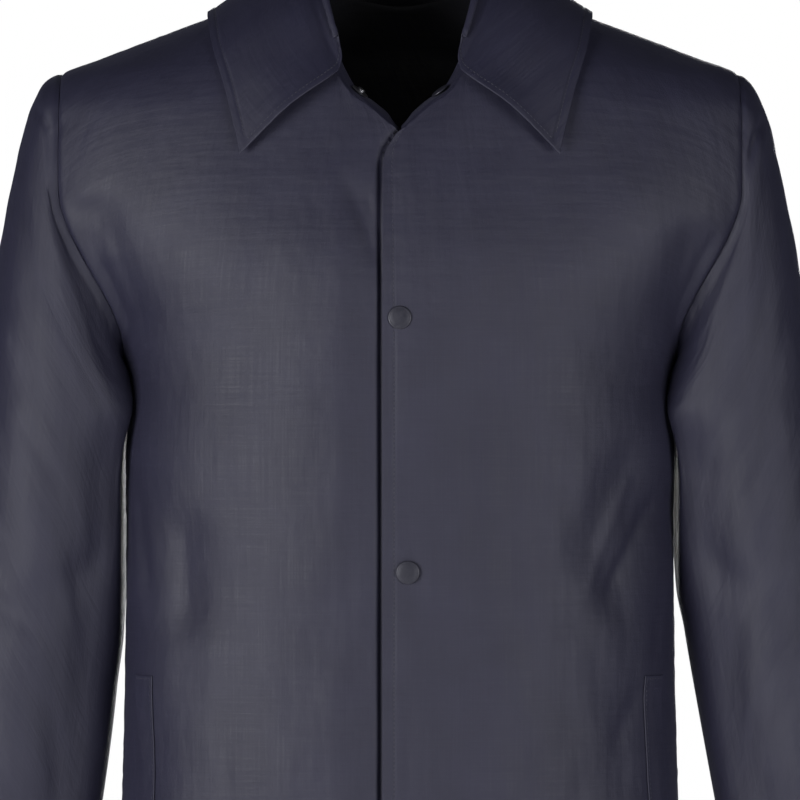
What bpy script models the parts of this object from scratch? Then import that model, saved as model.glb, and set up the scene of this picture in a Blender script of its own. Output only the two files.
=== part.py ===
"""Coach jacket, filled out as on a wearer, with its front snapped shut and its collar open.

Lengths are in millimetres until make_object turns them into metres. X runs to the wearer's left,
the front faces -Y and Z is up. The origin lies midway between the high points of the two
shoulders, where the jacket hangs on the shoulders that it is made for.
"""

import math

import bmesh
import bpy
import numpy as np
from mathutils import Vector
from mathutils.bvhtree import BVHTree

MM = 0.001

# The wearer's right and left: the sign of X and the name
SIDES = {-1: "right", 1: "left"}

# Cloth and seams
WALL = 1.2
SEAM_GAP = 0.3
# the neck seam turns sharply, so its pieces stand a little further apart
NECK_GAP = 0.5
# longest reach of a wall's corner at a seam, in half walls
LONGEST_MITER = 1.5

# Heights and reaches of the body
UNDERARM = -262.0
SHOULDER_TIP = -60.0
UNDERARM_REACH = 192.0
TIP_REACH = 236.0
ARMHOLE_RISE = (0.02, 0.60)
WIDE_POWER = 2.3
DEEP_POWER = 2.2

# Neckline in plan, and the front edge beside it
NECK_HALF = 76.0
NECK_FRONT = 104.0
NECK_BACK = 69.0
FRONT_LAP = 12.0
NECK_SQUARE = 0.85
NECK_CORNER = 0.9
# how far the neckline's curve is drawn in to a straight V in front, and over which reach
NECK_VEE = 0.4
NECK_VEE_REACH = 24.0
# turn from which the stand's end swings round to stand upright at the middle
STAND_SQUARE_FROM = 80.0
EDGE_CURVE = 30.0
EDGE_POWER = 2.5
UNDER_DROP = 2.6
UNDER_FADE = (14.0, 45.0)
# how fast the front edge's curve dies out over the columns beside it
EDGE_FADE = 6.0

# Welt pockets, measured round the body from the side seam
WELT_FROM_SIDE = 50.0
WELT_WIDTH = 22.8
WELT_TOP = -478.0
WELT_FOOT = -635.0

# Snaps
CAP_RADIUS = 8.0
CAP_RISE = 1.6
POST_RADIUS = 6.0
POST_RISE = 1.1
NECK_CAP_RADIUS = 6.5
REST_GAP = 0.4
STUD_RISE = 2.6
# places of the three fastened snaps in front view: x, height
SNAP_PLACES = ((0.0, -232.0), (5.5, -405.0), (3.0, -579.0))
# the open snap lies in this cell of the stand from either end
NECK_SNAP_CELL = 1
# further forward than any piece, where a line towards the front starts
BEFORE = 300.0

# Grid counts
SHOULDER_COLUMNS = 8
SIDE_COLUMNS = 3
UPPER_ROWS = 12
RING = 24
SNAP_SIDES = 16

# height, half width, front depth, back depth
BODY_ROWS = (
    (-715, 196.0, 120.0, 112.0),
    (-600, 195.0, 121.0, 110.0),
    (-480, 192.0, 121.0, 107.0),
    (-400, 191.0, 123.0, 108.0),
    (-330, 191.5, 125.0, 111.0),
    (-262, 192.0, 126.0, 116.0),
    (-240, 201.0, 126.0, 117.0),
    (-220, 215.0, 125.5, 118.0),
    (-200, 232.0, 124.5, 118.0),
    (-180, 248.0, 122.0, 117.5),
    (-160, 262.0, 118.0, 116.0),
    (-140, 268.0, 113.5, 113.5),
    (-120, 270.0, 108.0, 110.0),
    (-100, 268.0, 102.5, 104.5),
    (-80, 262.0, 96.0, 98.0),
    (-70, 252.0, 92.0, 94.0),
    (-60, 236.0, 88.0, 90.0),
    (-50, 209.0, 84.0, 85.5),
    (-40, 183.0, 80.0, 81.0),
    (-30, 156.0, 76.0, 78.0),
    (-20, 129.0, 72.0, 74.5),
    (-10, 103.0, 68.0, 70.5),
    (0, 76.0, 64.0, 65.0),
    (10, 50.0, 48.0, 57.0),
    (20, 24.0, 38.0, 47.0),
)

# heights of the rows of the body's lower part, from the underarm down
LOWER_HEIGHTS = (-262, -294, -326, -358, -389, -420, -449, -478, -509, -541, -572, -604, -635, -670, -705)

# station, outer height, outer reach right and left, inner height, inner reach right and left, front, back
SLEEVE_ROWS = (
    (0, -60, 236.0, 236.0, -262.0, 192.0, 192.0, -61.0, 59.0),
    (1, -63, 243.5, 240.5, -263.5, 192.8, 192.8, -62.0, 60.5),
    (2, -68, 249.3, 245.5, -265.5, 193.4, 193.4, -63.0, 62.5),
    (3, -77, 253.3, 251.0, -268.0, 193.6, 193.6, -64.0, 64.5),
    (4, -92, 258.5, 256.4, -271.5, 193.2, 193.2, -65.5, 67.0),
    (5, -115, 265.6, 262.8, -276.0, 192.0, 192.0, -67.5, 70.5),
    (6, -146, 272.8, 269.4, -281.0, 190.0, 190.0, -69.0, 74.0),
    (7, -184, 279.1, 276.2, -287.0, 186.0, 186.0, -70.0, 77.0),
    (8, -226, 284.8, 282.8, -294.0, 180.0, 180.0, -70.0, 78.0),
    (9, -270, 291.4, 290.4, -304.0, 175.0, 174.0, -70.0, 78.0),
    (10, -312, 297.8, 297.4, -327.0, 176.5, 176.5, -69.0, 77.5),
    (11, -350, 303.5, 303.5, -360.0, 180.2, 182.0, -68.0, 76.5),
    (12, -386, 308.8, 309.5, -395.0, 184.6, 188.4, -66.5, 75.0),
    (13, -421, 313.9, 315.3, -430.0, 189.1, 194.8, -65.0, 73.0),
    (14, -456, 319.0, 321.0, -465.0, 193.6, 201.2, -64.0, 71.0),
    (15, -491, 324.0, 327.0, -500.0, 198.0, 207.6, -63.5, 68.0),
    (16, -527, 328.5, 332.7, -537.0, 203.0, 214.4, -63.0, 64.5),
    (17, -563, 332.0, 337.5, -574.0, 208.5, 221.2, -62.5, 60.0),
    (18, -600, 335.0, 342.0, -612.0, 214.5, 228.4, -62.0, 54.0),
    (19, -637, 337.0, 346.0, -650.0, 220.5, 235.6, -61.0, 48.0),
    (20, -664, 338.0, 348.3, -678.0, 225.5, 240.9, -60.0, 43.0),
    (21, -690, 338.5, 350.0, -703.0, 229.5, 245.5, -59.0, 39.0),
)
SLEEVE_POWER = 2.2
# stations over which the armhole's shape turns into a level oval
CAP_STATIONS = 8.0
SLEEVE_CLEAR = 3.3
CLEAR_STATIONS = 4.0
SLEEVE_EASE = 2.5

# turn round the neck, degrees that the band stands off the line of the body, its height
STAND_ROWS = (
    (-120, 38.0, 34.5),
    (-90, 20.0, 39.0),
    (-60, 38.0, 34.5),
    (-45, 50.0, 32.0),
    (-15, 54.0, 28.0),
    (0, 38.0, 25.5),
    (12, 6.0, 23.5),
    (24, -30.0, 21.0),
    (37, -54.0, 19.0),
    (50, -64.0, 18.0),
    (63, -64.0, 18.0),
    (76, -64.0, 18.0),
    (90, -60.0, 12.0),
)
STAND_ROW_COUNT = 3

# turn round the neck where the collar starts, its height over the neck seam and the turn it slips
# forward there, its bulge off the body half way down, its edge in plan (reach, depth) and lift there
FALL_ROWS = (
    (-90, 8.0, 0.0, 2.0, 0.0, 85.0, 4.0),
    (-75, 8.0, 0.0, 2.0, 27.0, 84.0, 4.0),
    (-60, 8.5, 0.0, 2.0, 54.0, 80.0, 4.0),
    (-45, 9.0, 0.0, 2.0, 82.0, 71.0, 4.0),
    (-30, 10.0, 0.0, 2.0, 106.0, 56.0, 4.0),
    (-15, 13.0, 0.0, 2.0, 124.0, 33.0, 4.0),
    (0, 14.0, 0.0, 2.0, 131.5, 0.0, 4.0),
    (12, 12.0, 1.0, 2.0, 132.0, -36.0, 4.0),
    (24, 9.0, 3.0, 3.0, 128.0, -68.0, 4.0),
    (37, 6.0, 6.0, 5.0, 119.0, -87.5, 4.5),
    (50, 4.6, 10.0, 8.0, 108.0, -101.3, 7.0),
)
# how far down the collar its rows lie, closer together where it rolls over
FALL_MARKS = (0.0, 0.04, 0.085, 0.15, 0.27, 0.43, 0.61, 0.80, 1.0)
ROLL_UP = 4.0
ROLL_OUT = 6.5
ROLL_SHARE = 0.35
FRONT_CREASE = 0.5
FALL_CLEAR = 3.8

# folds of the fronts: from (own-side x, height) to (x, height), width, depth inward
RIGHT_FOLDS = (
    (214, -150, 203, -188, 16, 7.6),
    (203, -188, 186, -244, 18, 8.7),
    (150, -366, 147, -450, 20, 7.6),
    (168, -520, 160, -640, 22, 6.3),
    (34, -136, 13, -200, 12, 3.9),
    (96, -560, 88, -705, 30, 7.2),
)
LEFT_FOLDS = (
    (165, -318, 124, -404, 18, 9.6),
    (180, -350, 142, -430, 16, 8.1),
    (166, -480, 148, -560, 20, 7.2),
    (206, -170, 188, -240, 16, 7.2),
    (98, -590, 108, -705, 30, 7.2),
)
# folds of the back: from (x, height) to (x, height), width, depth inward
BACK_FOLDS = (
    (206, -150, 176, -250, 19, 8.7),
    (-206, -156, -178, -256, 19, 8.7),
    (168, -300, 96, -400, 22, 8.7),
    (-170, -316, -104, -392, 22, 7.6),
    (160, -430, 120, -520, 22, 7.2),
    (-166, -446, -128, -560, 22, 7.6),
    (60, -560, 70, -705, 32, 7.6),
    (-56, -590, -64, -705, 32, 7.2),
)
# folds of a sleeve: from (angle, height) to (angle, height), width, depth inward
SLEEVE_FOLDS = (
    (60, -250, 130, -330, 18, 7.0),
    (20, -330, 85, -400, 18, 6.2),
    (150, -395, 60, -440, 18, 7.5),
    (300, -300, 225, -370, 19, 7.5),
    (330, -420, 230, -470, 19, 7.0),
    (40, -540, 120, -580, 19, 5.5),
    (260, -560, 330, -610, 19, 5.9),
    (95, -610, 30, -650, 17, 4.9),
)
FOLD_SEAM_FADE = 16.0

NAVY = (0.020, 0.021, 0.036)
SNAP_GREY = (0.075, 0.076, 0.092)
STEEL = (0.42, 0.42, 0.44)


def unit(vectors):
    return vectors / np.maximum(np.linalg.norm(vectors, axis=-1, keepdims=True), 1e-9)


def ease(start, end, value):
    """0 before start and 1 after end, with a smooth turn between them."""
    t = np.clip((np.asarray(value, float) - start) / (end - start), 0.0, 1.0)
    return t * t * (3.0 - 2.0 * t)


def through(rows):
    """A smooth curve through the rows, as a function of their first column, which rises."""
    rows = np.array(rows, float)
    places, values = rows[:, 0], rows[:, 1:]
    spans = np.diff(places)[:, None]
    slopes = np.diff(values, axis=0) / spans
    inner = (slopes[:-1] * spans[1:] + slopes[1:] * spans[:-1]) / (spans[1:] + spans[:-1])
    turns = np.vstack([slopes[:1], inner, slopes[-1:]])

    def at(place):
        place = np.clip(np.asarray(place, float), places[0], places[-1])
        k = np.clip(np.searchsorted(places, place, side="right") - 1, 0, len(places) - 2)
        span = spans[k]
        t = ((place - places[k]) / span[..., 0])[..., None]
        start = (1 + 2 * t) * (1 - t) ** 2 * values[k] + t * (1 - t) ** 2 * span * turns[k]
        end = t**2 * (3 - 2 * t) * values[k + 1] + t**2 * (t - 1) * span * turns[k + 1]
        return start + end

    return at


body_section = through(BODY_ROWS)
stand_section = through(STAND_ROWS)
fall_section = through(FALL_ROWS)
sleeve_section = through(SLEEVE_ROWS)


# The body's surface


def level(points):
    """Below 0 inside the body's surface, 0 on it and above 0 outside."""
    section = body_section(points[..., 2])
    depth = np.where(points[..., 1] < 0, section[..., 1], section[..., 2])
    wide = (np.abs(points[..., 0]) / section[..., 0]) ** WIDE_POWER
    return wide + (np.abs(points[..., 1]) / depth) ** DEEP_POWER - 1.0


def slope(points):
    """The level's change along each axis."""
    step = 0.5
    rises = []
    for axis in range(3):
        move = np.zeros(3)
        move[axis] = step
        rises.append((level(points + move) - level(points - move)) / (2 * step))
    return np.stack(rises, axis=-1)


def body_normal(points):
    return unit(slope(points))


def depth_at(x, z, face):
    """The y of the surface at x and z, on the front for face -1 and on the back for face 1."""
    section = body_section(z)
    depth = section[..., 1] if face < 0 else section[..., 2]
    inside = np.clip(1.0 - (np.abs(x) / section[..., 0]) ** WIDE_POWER, 0.0, 1.0)
    return face * depth * inside ** (1.0 / DEEP_POWER)


def height_at(x, y):
    """The height at which the surface passes over (x, y) in plan, found by halving."""
    x, y = np.broadcast_arrays(np.asarray(x, float), np.asarray(y, float))
    low = np.full(x.shape, -200.0)
    high = np.full(x.shape, 20.0)
    for _ in range(40):
        middle = (low + high) / 2
        outside = level(np.stack([x, y, middle], axis=-1)) > 0
        high = np.where(outside, middle, high)
        low = np.where(outside, low, middle)
    return (low + high) / 2


def onto_body(points):
    """Each point moved onto the surface, along the ray from the body's core through it."""
    z = points[..., 2]
    core = points.copy()
    core[..., 0] *= 0.6
    core[..., 1] = 0.0
    core[..., 2] = np.where(z < -150.0, z, z - 0.6 * (z + 150.0))
    ray = points - core
    near = np.full(z.shape, 0.3)
    far = np.full(z.shape, 2.5)
    for _ in range(40):
        middle = (near + far) / 2
        outside = level(core + ray * middle[..., None]) > 0
        far = np.where(outside, middle, far)
        near = np.where(outside, near, middle)
    return core + ray * middle[..., None]


# Outlines that the pieces share


NECK_TURN = math.degrees(math.acos((NECK_CORNER / NECK_HALF) ** (1 / NECK_SQUARE)))
# turns of the neck seam's columns, from the front to the shoulder and on to the middle of the back
FRONT_TURNS = (NECK_TURN, 76.0, 63.0, 50.0, 37.0, 24.0, 12.0, 0.0)
BACK_TURNS = (0.0, -15.0, -30.0, -45.0, -60.0, -75.0, -90.0)


def neckline(turns):
    """Points of the neck seam on the +X side: 90 degrees at the front, 0 on the shoulder, -90 behind."""
    angle = np.radians(np.asarray(turns, float))
    x = NECK_HALF * np.sign(np.cos(angle)) * np.abs(np.cos(angle)) ** np.where(angle > 0, NECK_SQUARE, 1.0)
    vee = NECK_VEE * np.abs(x) * np.exp(-((x / NECK_VEE_REACH) ** 2))
    y = np.where(angle > 0, vee - NECK_FRONT * np.sin(angle), -NECK_BACK * np.sin(angle))
    return np.stack([x, y, height_at(x, y)], axis=-1)


NECK_DIP = float(neckline(NECK_TURN)[2])


def front_edge(z):
    """Reach of the front edge to its own side; below 0 it laps over the other front."""
    rise = np.clip((z - NECK_DIP + EDGE_CURVE) / EDGE_CURVE, 0.0, 1.0)
    return -FRONT_LAP + (FRONT_LAP + NECK_CORNER) * rise**EDGE_POWER


def neck_columns(face):
    return len(FRONT_TURNS if face < 0 else BACK_TURNS) - 1


def armhole(angles, face):
    """Points of the armhole seam on the +X side: 0 degrees at the shoulder, 180 at the underarm."""
    cosine = np.cos(np.radians(np.asarray(angles, float)))
    z = (SHOULDER_TIP + UNDERARM) / 2 + (SHOULDER_TIP - UNDERARM) / 2 * cosine
    rise = ease(*ARMHOLE_RISE, (z - UNDERARM) / (SHOULDER_TIP - UNDERARM))
    x = UNDERARM_REACH + (TIP_REACH - UNDERARM_REACH) * rise
    return np.stack([x, depth_at(x, z, face), z], axis=-1)


def section_points(z, angle, face):
    """Points of the level section at height z; angle 0 at the side and 90 at the middle."""
    section = body_section(z)
    depth = section[..., 1] if face < 0 else section[..., 2]
    cosine, sine = np.cos(angle), np.sin(angle)
    x = section[..., 0] * np.sign(cosine) * np.abs(cosine) ** (2 / WIDE_POWER)
    y = face * depth * np.abs(sine) ** (2 / DEEP_POWER)
    return np.stack([x, y, np.broadcast_to(z, x.shape)], axis=-1)


def edge_angle(z, face):
    """The section's angle at the front edge, or at the middle of the back."""
    if face > 0:
        return np.full(np.shape(z), math.pi / 2)
    edge = front_edge(z)
    return np.arccos(np.sign(edge) * (np.abs(edge) / body_section(z)[..., 0]) ** (WIDE_POWER / 2))


def column_shares(face, columns):
    """How far round the section each column lies, as a share of the angle from edge to side seam.

    Columns are evenly spaced, but for one as wide as a pocket welt."""
    z = np.array(UNDERARM)
    angles = np.linspace(float(edge_angle(z, face)), 0.0, 400)
    line = section_points(z, angles, face)
    lengths = np.append(0.0, np.cumsum(np.linalg.norm(np.diff(line, axis=0), axis=1)))
    before = columns - SIDE_COLUMNS - 1
    welt_start = lengths[-1] - WELT_FROM_SIDE - WELT_WIDTH
    marks = np.append(
        np.linspace(0.0, welt_start, before + 1),
        lengths[-1] - np.linspace(WELT_FROM_SIDE, 0.0, SIDE_COLUMNS + 1),
    )
    return 1.0 - np.interp(marks, lengths, angles) / angles[0]


def lower_rows(face, shares, heights):
    """Rows from the hem up to the underarm."""
    z = np.array(sorted(heights), float)[:, None]
    angles = edge_angle(z, face) * (1.0 - shares)
    return section_points(z, angles, face)


def top_line(face):
    """The neckline and the shoulder seam, from the middle to the shoulder's tip."""
    neck = neckline(FRONT_TURNS if face < 0 else BACK_TURNS[::-1])
    x = np.linspace(NECK_HALF, TIP_REACH, SHOULDER_COLUMNS + 1)[1:]
    shoulder = np.stack([x, np.zeros_like(x), height_at(x, np.zeros_like(x))], axis=-1)
    shoulder[-1] = (TIP_REACH, 0.0, SHOULDER_TIP)
    return np.vstack([neck, shoulder])


def upper_rows(face, bottom, rows):
    """Rows above the underarm: a patch spanned between its four borders, set onto the body."""
    top = top_line(face)
    steps = np.arange(rows + 1) / rows
    edge_z = bottom[0, 2] + (top[0, 2] - bottom[0, 2]) * steps
    edge_x = front_edge(edge_z) if face < 0 else np.zeros_like(edge_z)
    edge = np.stack([edge_x, depth_at(edge_x, edge_z, face), edge_z], axis=-1)
    arm = armhole(180.0 * (1.0 - steps), face)
    across = (np.arange(len(bottom)) / (len(bottom) - 1))[None, :, None]
    even, round_ = steps[:, None, None], ((1 - np.cos(np.pi * steps)) / 2)[:, None, None]
    up = (1 - across**2) * even + across**2 * round_
    edge_bow = edge[:, None] - (1 - even) * bottom[0] - even * top[0]
    arm_bow = arm[:, None] - (1 - round_) * bottom[-1] - round_ * top[-1]
    patch = (1 - up) * bottom[None] + up * top[None]
    patch = patch + (1 - across) ** EDGE_FADE * edge_bow + across * arm_bow
    patch[1:-1, 1:-1] = onto_body(patch[1:-1, 1:-1])
    return patch


def half_body(face):
    """The front, or half the back, on the +X side: rows from the hem up, columns from the middle."""
    columns = neck_columns(face) + SHOULDER_COLUMNS
    lower = lower_rows(face, column_shares(face, columns), LOWER_HEIGHTS)
    return np.vstack([lower[:-1], upper_rows(face, lower[-1], UPPER_ROWS)])


def stand_frame(turns):
    """The way up the collar's stand, and the way out from its outer face, both square to the neck seam."""
    step = 0.5
    turns = np.asarray(turns, float)
    along = unit(neckline(turns - step) - neckline(turns + step))
    square = ease(STAND_SQUARE_FROM, NECK_TURN, turns)[..., None]
    along = unit((1 - square) * along + square * np.array([1.0, 0.0, 0.0]))
    normal = body_normal(neckline(turns))
    inward = unit(np.cross(normal, along))
    normal = np.cross(along, inward)
    lean = np.radians(stand_section(turns)[..., :1])
    up = inward * np.cos(lean) + normal * np.sin(lean)
    return up, normal * np.cos(lean) - inward * np.sin(lean)


# Folds


def trough(across, height, fold):
    """How deep one fold is at points given by two flat coordinates."""
    x0, z0, x1, z1, width, depth = fold
    run = np.array([x1 - x0, z1 - z0], float)
    length = np.linalg.norm(run)
    run /= length
    along = ((across - x0) * run[0] + (height - z0) * run[1]) / length
    side = (across - x0) * run[1] - (height - z0) * run[0]
    body = ease(-0.18, 0.25, along) * (1 - ease(0.75, 1.18, along))
    return depth * body * np.exp(-((side / width) ** 2))


def seam_fade(grid, seams):
    """0 at the seams and 1 from a short way inside the piece."""
    flat = grid.reshape(-1, 3)
    near = np.full(len(flat), np.inf)
    for point in seams:
        near = np.minimum(near, np.linalg.norm(flat - point, axis=1))
    return ease(0.0, FOLD_SEAM_FADE, near).reshape(grid.shape[:-1])


def fold_body(grid, folds):
    seams = [*grid[-1], *grid[:, -1]]
    depth = sum(trough(grid[..., 0], grid[..., 2], fold) for fold in folds)
    depth = depth * seam_fade(grid, seams)
    return grid - body_normal(grid) * depth[..., None]


# Sleeves


def sleeve_ring(stations, angles, side):
    """A sleeve's points on the +X side, stations down it and angles round it.

    Angle 0 is outermost, 90 in front, 180 against the body. The rings turn from the armhole's
    shape to level ovals down the arm, and lie clear of the body's side."""
    rows = sleeve_section(stations)[:, None, :]
    outer_z, inner_z = rows[..., 0], rows[..., 3]
    outer_x = rows[..., 1] if side < 0 else rows[..., 2]
    inner_x = rows[..., 4] if side < 0 else rows[..., 5]
    middle = np.stack([(outer_x + inner_x) / 2, np.zeros_like(outer_x), (outer_z + inner_z) / 2], axis=-1)
    reach = np.stack([(outer_x - inner_x) / 2, np.zeros_like(outer_x), (outer_z - inner_z) / 2], axis=-1)
    lift = np.stack([-reach[..., 2], reach[..., 1], reach[..., 0]], axis=-1)

    turn = np.radians(angles)
    front = armhole(angles, -1)
    back = armhole(360.0 - angles, 1)
    seam = np.where((np.sin(turn) >= 0)[:, None], front, back)
    size = np.sum(reach[:1] ** 2, axis=-1)
    seam_out = np.sum((seam - middle[:1]) * reach[:1], axis=-1) / size
    seam_lift = np.sum((seam - middle[:1]) * lift[:1], axis=-1) / size
    oval_out = np.sign(np.cos(turn)) * np.abs(np.cos(turn)) ** (2 / SLEEVE_POWER)
    oval_side = np.sign(np.sin(turn)) * np.abs(np.sin(turn)) ** (2 / SLEEVE_POWER)
    centre = (rows[..., 6] + rows[..., 7]) / 2
    half = (rows[..., 7] - rows[..., 6]) / 2
    blend = ease(0.0, CAP_STATIONS, np.asarray(stations, float))[:, None]

    out = (1 - blend) * seam_out + blend * oval_out
    rise = (1 - blend) * seam_lift
    depth = (1 - blend) * seam[None, :, 1] + blend * (centre - half * oval_side)
    points = middle + out[..., None] * reach + rise[..., None] * lift
    points[..., 1] = depth
    return clear_of_body(points, np.asarray(stations, float))


def clear_of_body(points, stations):
    """Moves what would lie in the body's side out to just clear of it."""
    wanted = SLEEVE_CLEAR * ease(0.0, CLEAR_STATIONS, stations)[:, None]
    for _ in range(3):
        rise = slope(points)
        steep = np.linalg.norm(rise, axis=-1)
        distance = level(points) / steep
        lack = wanted - distance
        push = (lack + np.sqrt(lack**2 + SLEEVE_EASE**2 * ease(0, CLEAR_STATIONS, stations)[:, None])) / 2
        low = 1 - ease(-262.0, -238.0, points[..., 2])
        push = np.where(lack > -30.0, push, 0.0) * low * ease(0.0, 1.0, stations)[:, None]
        points = points + rise / steep[..., None] * np.minimum(push, 30.0)[..., None] * 0.8
    return points


def fold_sleeve(grid, normals, angles):
    depth = np.zeros(grid.shape[:-1])
    for start, z0, end, z1, width, deep in SLEEVE_FOLDS:
        away = (angles - (start + end) / 2 + 180.0) % 360.0 - 180.0
        arc = away[None, :] * 1.15 + np.zeros_like(depth)
        half = (end - start) / 2 * 1.15
        depth += trough(arc, grid[..., 2], (-half, z0, half, z1, width, deep))
    inside = np.abs((angles - 180.0 + 180.0) % 360.0 - 180.0)
    depth *= ease(30.0, 60.0, inside)[None, :]
    depth *= ease(2.0, 8.0, np.arange(len(grid)))[:, None]
    return grid - normals * depth[..., None]


# Walls


def grid_normals(grid, closed=False):
    """Unit normals of a grid of points, along columns crossed with up the rows."""
    if closed:
        wide = np.concatenate([grid[:, -1:], grid, grid[:, :1]], axis=1)
        along = wide[:, 2:] - wide[:, :-2]
    else:
        along = np.gradient(grid, axis=1)
    return unit(np.cross(along, np.gradient(grid, axis=0)))


def miter(first, second):
    """The direction in which two walls that meet along a seam both get their thickness."""
    middle = unit(first + second)
    share = np.maximum(np.sum(middle * first, axis=-1, keepdims=True), 1 / LONGEST_MITER)
    return middle / share


def seam_shift(line, miters, inside, closed=False, gap=SEAM_GAP):
    """Half the seam's gap, across its line and away from the neighbouring piece."""
    if closed:
        wide = np.vstack([line[-1:], line, line[:1]])
        along = wide[2:] - wide[:-2]
    else:
        along = np.gradient(line, axis=0)
    across = unit(np.cross(miters, along))
    across *= np.sign(np.sum(across * (inside - line), axis=1, keepdims=True))
    return across * gap / 2


def wall_faces(rows, columns, closed):
    """Quads of a wall's outer and inner sides and of its rims, by index into both sides' points."""
    total = rows * columns
    wrap = columns if closed else columns - 1

    def corner(i, j):
        return i * columns + j % columns

    faces = []
    for i in range(rows - 1):
        for j in range(wrap):
            quad = (corner(i, j), corner(i, j + 1), corner(i + 1, j + 1), corner(i + 1, j))
            faces.append(quad)
            faces.append(tuple(quad[k] + total for k in (0, 3, 2, 1)))
    rims = []
    for j in range(wrap):
        rims.append((corner(0, j + 1), corner(0, j)))
        rims.append((corner(rows - 1, j), corner(rows - 1, j + 1)))
    if not closed:
        for i in range(rows - 1):
            rims.append((corner(i, 0), corner(i + 1, 0)))
            rims.append((corner(i + 1, columns - 1), corner(i, columns - 1)))
    for a, b in rims:
        faces.append((a, b, b + total, a + total))
    return faces


def material(name, colour, roughness, metallic=0.0):
    made = bpy.data.materials.new(name)
    made.use_nodes = True
    shader = made.node_tree.nodes["Principled BSDF"]
    shader.inputs["Base Color"].default_value = (*colour, 1.0)
    shader.inputs["Roughness"].default_value = roughness
    shader.inputs["Metallic"].default_value = metallic
    made.diffuse_color = (*colour, 1.0)
    return made


def make_object(name, points, faces, look):
    """An object from points in millimetres and faces, turned to face outward."""
    mesh = bpy.data.meshes.new(name)
    mesh.from_pydata([Vector(point) * MM for point in points.tolist()], [], faces)
    shape = bmesh.new()
    shape.from_mesh(mesh)
    if shape.calc_volume(signed=True) < 0:
        bmesh.ops.reverse_faces(shape, faces=shape.faces)
    shape.to_mesh(mesh)
    shape.free()
    mesh.shade_smooth()
    mesh.set_sharp_from_angle(angle=math.radians(50))
    mesh.materials.append(look)
    made = bpy.data.objects.new(name, mesh)
    bpy.context.scene.collection.objects.link(made)
    return made


def wall(name, grid, normals, closed=False):
    """A cloth wall half to either side of its grid, as an object."""
    half = normals * WALL / 2
    points = np.vstack([(grid + half).reshape(-1, 3), (grid - half).reshape(-1, 3)])
    faces = wall_faces(*grid.shape[:2], closed)
    return make_object(name, points, faces, material(name + "_nylon", NAVY, 0.5))


def mirrored(grid):
    return grid * np.array([-1.0, 1.0, 1.0])


# Snaps


def turned_piece(name, centre, axis, profile, colour):
    """A closed round piece from a profile of (radius, height), turned about an axis."""
    axis = unit(np.asarray(axis, float))
    first = unit(np.cross(axis, (0.0, 0.0, 1.0)))
    second = np.cross(axis, first)
    around = [2 * math.pi * step / SNAP_SIDES for step in range(SNAP_SIDES)]
    points = []
    for radius, height in profile[1:-1]:
        for angle in around:
            spoke = first * math.cos(angle) + second * math.sin(angle)
            points.append(centre + axis * height + spoke * radius)
    foot, tip = len(points), len(points) + 1
    points += [centre + axis * profile[0][1], centre + axis * profile[-1][1]]
    faces = []
    last = (len(profile) - 3) * SNAP_SIDES
    for step in range(SNAP_SIDES):
        after = (step + 1) % SNAP_SIDES
        faces.append((foot, after, step))
        faces.append((last + step, last + after, tip))
        for low in range(0, last, SNAP_SIDES):
            high = low + SNAP_SIDES
            faces.append((low + step, low + after, high + after, high + step))
    return make_object(name, np.array(points), faces, material(name + "_metal", colour, 0.3, 1.0))


def dome(radius, rise):
    """A snap cap's profile: a flat foot, a rounded rim and a low dome."""
    rim = ((radius * 0.9, 0), (radius, rise * 0.35), (radius * 0.94, rise * 0.65))
    return ((0, 0), *rim, (radius * 0.6, rise * 0.9), (0, rise))


def stud(radius, rise):
    """A snap's stud: a flat flange with a narrower post on it."""
    flange = ((radius, 0), (radius, rise * 0.35), (radius * 0.5, rise * 0.45))
    return ((0, 0), *flange, (radius * 0.5, rise), (0, rise * 0.9))


def hit(made, origin, direction):
    """Where a ray first meets an object, and the face's outward normal there, in millimetres."""
    shape = bmesh.new()
    shape.from_mesh(made.data)
    tree = BVHTree.FromBMesh(shape)
    place, normal, _, _ = tree.ray_cast(Vector(origin) * MM, Vector(direction))
    shape.free()
    return np.array(place) / MM, np.array(normal)


def facing(normals, place, direction):
    """The normals, all turned round if the one at the place points against the direction."""
    return normals * np.sign(np.dot(normals[place], direction))


def resampled(path, shares):
    """Rows at the given shares of the way along smooth curves through the rows of a path."""
    fine_rows = 200
    at = through([(k, *np.ravel(row)) for k, row in enumerate(path)])
    fine = at(np.linspace(0, len(path) - 1, fine_rows)).reshape(fine_rows, *path.shape[1:])
    made = np.empty((len(shares), *path.shape[1:]))
    for column in range(path.shape[1]):
        line = fine[:, column]
        lengths = np.append(0.0, np.cumsum(np.linalg.norm(np.diff(line, axis=0), axis=1)))
        marks = np.array(shares) * lengths[-1]
        for axis in range(3):
            made[:, column, axis] = np.interp(marks, lengths, line[:, axis])
    return made


def lifted(points, clearance):
    """Moves what lies nearer the body than the clearance out to it."""
    for _ in range(3):
        rise = slope(points)
        steep = np.linalg.norm(rise, axis=-1)
        lack = np.maximum(clearance - level(points) / steep, 0.0)
        points = points + rise / steep[..., None] * lack[..., None]
    return points


# Pieces, each made on the +X side as a grid of points with the directions of its wall's thickness


def sleeve(side):
    """A sleeve, with the directions that its cap shares with the body along the armhole."""
    angles = np.arange(RING) * 360.0 / RING
    stations = np.array([row[0] for row in SLEEVE_ROWS], float)
    grid = sleeve_ring(stations, angles, side)
    normals = facing(grid_normals(grid, closed=True), (-1, 0), (1, 0, 0))
    seam = miter(body_normal(grid[0]), normals[0])
    grid = fold_sleeve(grid, normals, angles)
    normals[0] = seam
    grid[0] += seam_shift(grid[0], seam, grid[1], closed=True)
    return grid, normals, seam


def neck_points(turns, side):
    """The neck seam on one half, with the drop of the front that lies underneath."""
    points = neckline(turns)
    if side < 0:
        drop = UNDER_DROP * (1 - ease(*UNDER_FADE, points[:, 0])) * (turns > 0)
        points = points - body_normal(points) * drop[:, None]
    return points


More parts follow.
